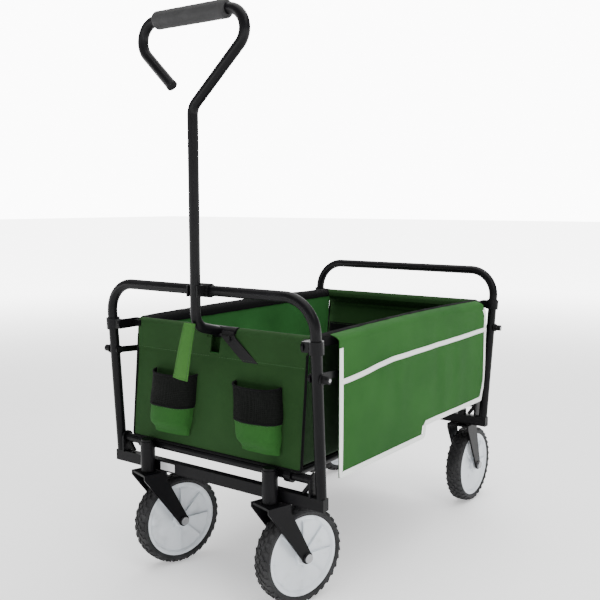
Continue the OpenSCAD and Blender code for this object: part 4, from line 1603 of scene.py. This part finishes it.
@dataclass
class PullHandle:
    """Tall handle: gooseneck, stem, open loop, foam grip and hanging strap."""

    shop: Workshop
    y: float = -0.4072955
    tube_r: float = 0.0095
    grip_z: float = 1.027
    loop_w: float = 0.117
    loop_z: float = 0.860
    loop_r: float = 0.034
    loop_bend: float = 0.028
    open_at: tuple[float, float] = (0.049, 0.914)
    neck_r: float = 0.030
    stem_z: float = 0.5165157
    neck_turn: float = math.radians(75.0)

    def bend(
        self, centre: tuple[float, float], r: float, s0: float, s1: float, steps: int
    ) -> list[Vector]:
        """Points round one bend of the loop, about centre, from heading s0 to s1."""
        points = []
        for i in range(steps + 1):
            s = s0 + (s1 - s0) * i / steps
            points.append(Vector((centre[0] + r * math.cos(s), self.y, centre[1] - r * math.sin(s))))
        return points

    def path(self) -> list[Vector]:
        """Centre line of the whole tube, from the pivot sleeve to the loop's open end."""
        turn = self.neck_turn
        start = 0.008
        y, z = LAYOUT.pivot_y - start * math.sin(turn), LAYOUT.rail_z + start * math.cos(turn)
        points = [Vector((0.0, y, z))]
        for i in range(13):
            a = turn * (1 - i / 12)
            y = self.y + self.neck_r * (1 - math.cos(a))
            points.append(Vector((0.0, y, self.stem_z - self.neck_r * math.sin(a))))
        corner = (self.loop_w - self.loop_r, self.grip_z - self.loop_r)
        reach = (corner[0] - self.loop_bend, corner[1] - self.loop_z)
        slant = math.atan2(*reach) + math.asin((self.loop_r + self.loop_bend) / math.hypot(*reach))
        gap = (corner[0] - self.open_at[0], corner[1] - self.open_at[1])
        open_slant = math.atan2(*gap) + math.asin(self.loop_r / math.hypot(*gap))
        points += self.bend((self.loop_bend, self.loop_z), -self.loop_bend, 0.0, slant, 10)
        points += self.bend(corner, self.loop_r, slant, -0.5 * math.pi, 18)
        points += self.bend(
            (-corner[0], corner[1]), self.loop_r, -0.5 * math.pi, -math.pi - open_slant, 18
        )
        points.append(Vector((-self.open_at[0], self.y, self.open_at[1])))
        return points

    def grip(self) -> bpy.types.Mesh:
        """Returns the foam sleeve over the loop's top bar."""
        half, r = self.loop_w - self.loop_r - 0.001, 0.0158
        profile = [(-half, 0.0098), (-half, 0.0130), (-half + 0.0012, 0.0148), (-half + 0.0035, r)]
        for x in spread(-half + 0.008, 0.0, 12):
            profile.append((x, r + 0.00018 * ripple(x * 60.0, 0.0, 2.0)))
        profile += [(-x, radius) for x, radius in reversed(profile[:-1])]
        mesh = lathe_x(Draft(), profile, 48).mesh("grip")
        mesh.transform(Matrix.Translation((0.0, self.y, self.grip_z)))
        return painted(mesh, self.shop.paints["foam"])

    def build(self) -> None:
        """Makes the tube, its end plug, the grip and the strap."""
        tube = tube_mesh("pull_tube", self.path(), self.tube_r, 32)
        painted(tube, self.shop.paints["steel"])
        publish("pull_tube", tube, Body.HANDLE, ["handle_tube"])
        end, before = self.path()[-1], self.path()[-2]
        ahead = (end - before).normalized()
        along = [end + ahead * step for step in (-0.001, 0.001, 0.0025)]
        plug = painted(tube_mesh("end_plug", along, 0.0101), self.shop.paints["black"])
        publish("handle_end_plug", plug, Body.HANDLE)
        foam = publish("foam_sleeve", self.grip(), Body.HANDLE, ["handle_grip"])
        self.strap()

    def strap(self) -> None:
        """Light green webbing that hangs in front of the gooseneck, hemmed in a darker green."""
        top, low = 0.500, 0.399
        front = self.y - self.tube_r - 0.0022

        def edges(z: float) -> tuple[float, float]:
            """Left and right X of the webbing at height z."""
            t = (top - z) / (top - low)
            return (-0.017 - 0.030 * t, 0.010 - 0.022 * t)

        def shape(u: float, v: float) -> Point:
            """Point at u across the webbing and v below its top."""
            z = top - v
            left, right = edges(z)
            s = u / 0.034
            t = v / (top - low)
            curl = 0.0022 * (1.0 - (2.0 * s - 1.0) ** 2) + 0.0012 * math.sin(5.0 * t)
            return (left + (right - left) * s, front - curl * t, z - 0.004 * s * t)

        draft = Draft().grid(shape, spread(0.0, 0.034, 10), spread(0.0, top - low, 26))
        rows = []
        for s in (0.08, 0.92):
            line = [shape(0.034 * s, v) for v in spread(0.002, top - low - 0.002, 30)]
            line = [(x, y - 0.0012, z) for x, y, z in line]
            rows.append(self.shop.stitches.run(line, self.shop.paints["thread"], 0.005))
        self.shop.sheet(
            "strap_webbing", draft, "lime", Body.STRAP, "tub_fabric", ["tie_strap"],
            thickness=0.0016, width=0.034, held="hung", rests_on=["pull_tube"], extra=rows,
        )
        hem = [Vector(shape(u, top - low)) for u in spread(0.0, 0.034, 8)]
        mesh = painted(tube_mesh("hem", hem, 0.0013, 8), self.shop.paints["lime"])
        publish("strap_hem", mesh, Body.STRAP)


# ---- frame, stage and camera ------------------------------------------------------------


@dataclass
class BoltTips:
    """Bright screw ends in the leg knobs."""

    shop: Workshop
    radius: float = 0.0034

    def build(self) -> None:
        """Makes the two ends of each hoop."""
        for body, node in ((Body.FRONT, "front_bolts"), (Body.REAR, "rear_bolts")):
            low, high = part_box(node)
            middle = (low + high) / 2
            tips = []
            for side in Side:
                profile = [(-0.001, 0.0005), (-0.001, self.radius), (0.0006, self.radius),
                           (0.0012, self.radius - 0.0008), (0.0012, 0.0005)]
                tip = lathe_x(Draft(), [(side.value * x, r) for x, r in profile], 20).mesh("tip")
                tip.transform(Matrix.Translation((side.value * high.x, middle.y, middle.z)))
                tips.append(painted(tip, self.shop.paints["zinc"]))
            publish(f"{node}_tips", joined("tips", tips), body)


class CadDressing:
    """Gives the CAD nodes that stay visible their finishes."""

    BY_SLOT = {
        "frame_paint": "steel",
        "black_plastic": "black",
        "zinc_steel": "zinc",
        "label": "label",
        "hub_plastic": "white",
        "tyre": "tyre",
        "foam": "foam",
        "tub_fabric": "green",
        "floor_fabric": "black_cloth",
    }

    def __init__(self, shop: Workshop, frame: dict) -> None:
        """Keeps the finishes and the loaded frame."""
        self.shop = shop
        self.frame = frame

    def dress(self) -> None:
        """Assigns a finish to every node from its slot in the record."""
        slots = {part["node"]: part["material_slot"] for part in self.frame["record"]["subparts"]}
        for name, node in self.frame["nodes"].items():
            finish = self.BY_SLOT[slots[name]]
            node.data.materials.clear()
            node.data.materials.append(self.shop.paints[finish])
        LOG.info("dressed %d nodes", len(slots))


@dataclass
class Studio:
    """Pale floor, soft lights and the camera."""

    shop: Workshop
    eye: Point = (1.005, -1.483, 0.711)
    tilt: float = -6.671
    heading: float = 35.857
    lens: float = 50.06
    sky_strength: float = 0.62
    backdrop_strength: float = 14.0

    def build(self) -> None:
        """Adds the stage and makes the camera the scene's own."""
        self.floor()
        self.sky()
        self.lamp("key", (2.4, -0.9, 2.6), 1.2, 30.0)
        self.lamp("overhead", (0.2, 0.4, 4.2), 5.0, 300.0)
        self.lamp("back", (-1.6, 2.6, 1.8), 2.0, 30.0)
        camera = bpy.data.cameras.new("camera")
        camera.lens = self.lens
        camera.sensor_width = 36.0
        holder = bpy.data.objects.new("camera", camera)
        holder.location = self.eye
        holder.rotation_euler = (math.radians(90.0 + self.tilt), 0.0, math.radians(self.heading))
        bpy.context.scene.collection.objects.link(holder)
        bpy.context.scene.camera = holder

    def floor(self) -> None:
        """Adds the floor as part of the stage."""
        mesh = bpy.data.meshes.new("studio_floor")
        reach = 30.0
        corners = [(-reach, -reach, 0), (reach, -reach, 0), (reach, reach, 0), (-reach, reach, 0)]
        mesh.from_pydata(corners, [], [(0, 1, 2, 3)])
        ground = bpy.data.objects.new("studio_floor", painted(mesh, self.shop.paints["floor"]))
        bpy.context.scene.collection.objects.link(ground)

    def sky(self) -> None:
        """Adds an even white sky with a brighter backdrop behind the cart."""
        world = bpy.data.worlds.new("studio")
        world.use_nodes = True
        sky = world.node_tree.nodes["Background"]
        sky.inputs[0].default_value = (1.0, 1.0, 1.0, 1.0)
        sky.inputs[1].default_value = self.sky_strength
        backdrop = world.node_tree.nodes.new("ShaderNodeBackground")
        backdrop.inputs[1].default_value = self.backdrop_strength
        seen = world.node_tree.nodes.new("ShaderNodeLightPath")
        chosen = world.node_tree.nodes.new("ShaderNodeMixShader")
        output = world.node_tree.nodes["World Output"]
        link = world.node_tree.links.new
        link(seen.outputs["Is Camera Ray"], chosen.inputs[0])
        link(sky.outputs[0], chosen.inputs[1])
        link(backdrop.outputs[0], chosen.inputs[2])
        link(chosen.outputs[0], output.inputs["Surface"])
        bpy.context.scene.world = world

    def lamp(self, name: str, where: Point, size: float, power: float) -> None:
        """Adds a square area light that faces the cart."""
        light = bpy.data.lights.new(name, "AREA")
        light.size = size
        light.energy = power
        holder = bpy.data.objects.new(name, light)
        holder.location = where
        aim = Vector((0.0, 0.0, 0.35)) - Vector(where)
        holder.rotation_euler = aim.to_track_quat("-Z", "Y").to_euler()
        bpy.context.scene.collection.objects.link(holder)


def main() -> None:
    """Builds the whole cart round the frame."""
    logging.basicConfig(level=logging.INFO, format="%(message)s")
    for old in list(bpy.data.objects):
        bpy.data.objects.remove(old)
    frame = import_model()
    shop = Workshop()
    Studio(shop).build()
    CadDressing(shop, frame).dress()
    # Both end panels wear the green that is painted darker as shade.
    EndPanel(
        shop, LAYOUT.front_y, LAYOUT.pivot_y, -1, Body.FRONT, "front_panel", "panel_painted_shade",
        notch=(-0.0225, 0.0475, 0.436),
    ).build()
    EndPanel(shop, LAYOUT.rear_y, LAYOUT.rear_rail_y, 1, Body.REAR, "rear_panel", "panel_painted_shade").build()
    for side in Side:
        SideWall(shop, side).build()
        for front in (True, False):
            Wheel(shop, side, front).build()
    Pouch(shop, Side.LEFT, -0.094, 0.004, half=0.053).build()
    Pouch(shop, Side.RIGHT, 0.112, -0.014, half=0.051).build()
    SideBag(shop).build()
    FloorPad(shop, "front", Body.BASE_FRONT).build()
    FloorPad(shop, "rear", Body.BASE_REAR).build()
    FloorCloth(shop).build()
    PullHandle(shop).build()
    BoltTips(shop).build()


if __name__ == "__main__":
    main()
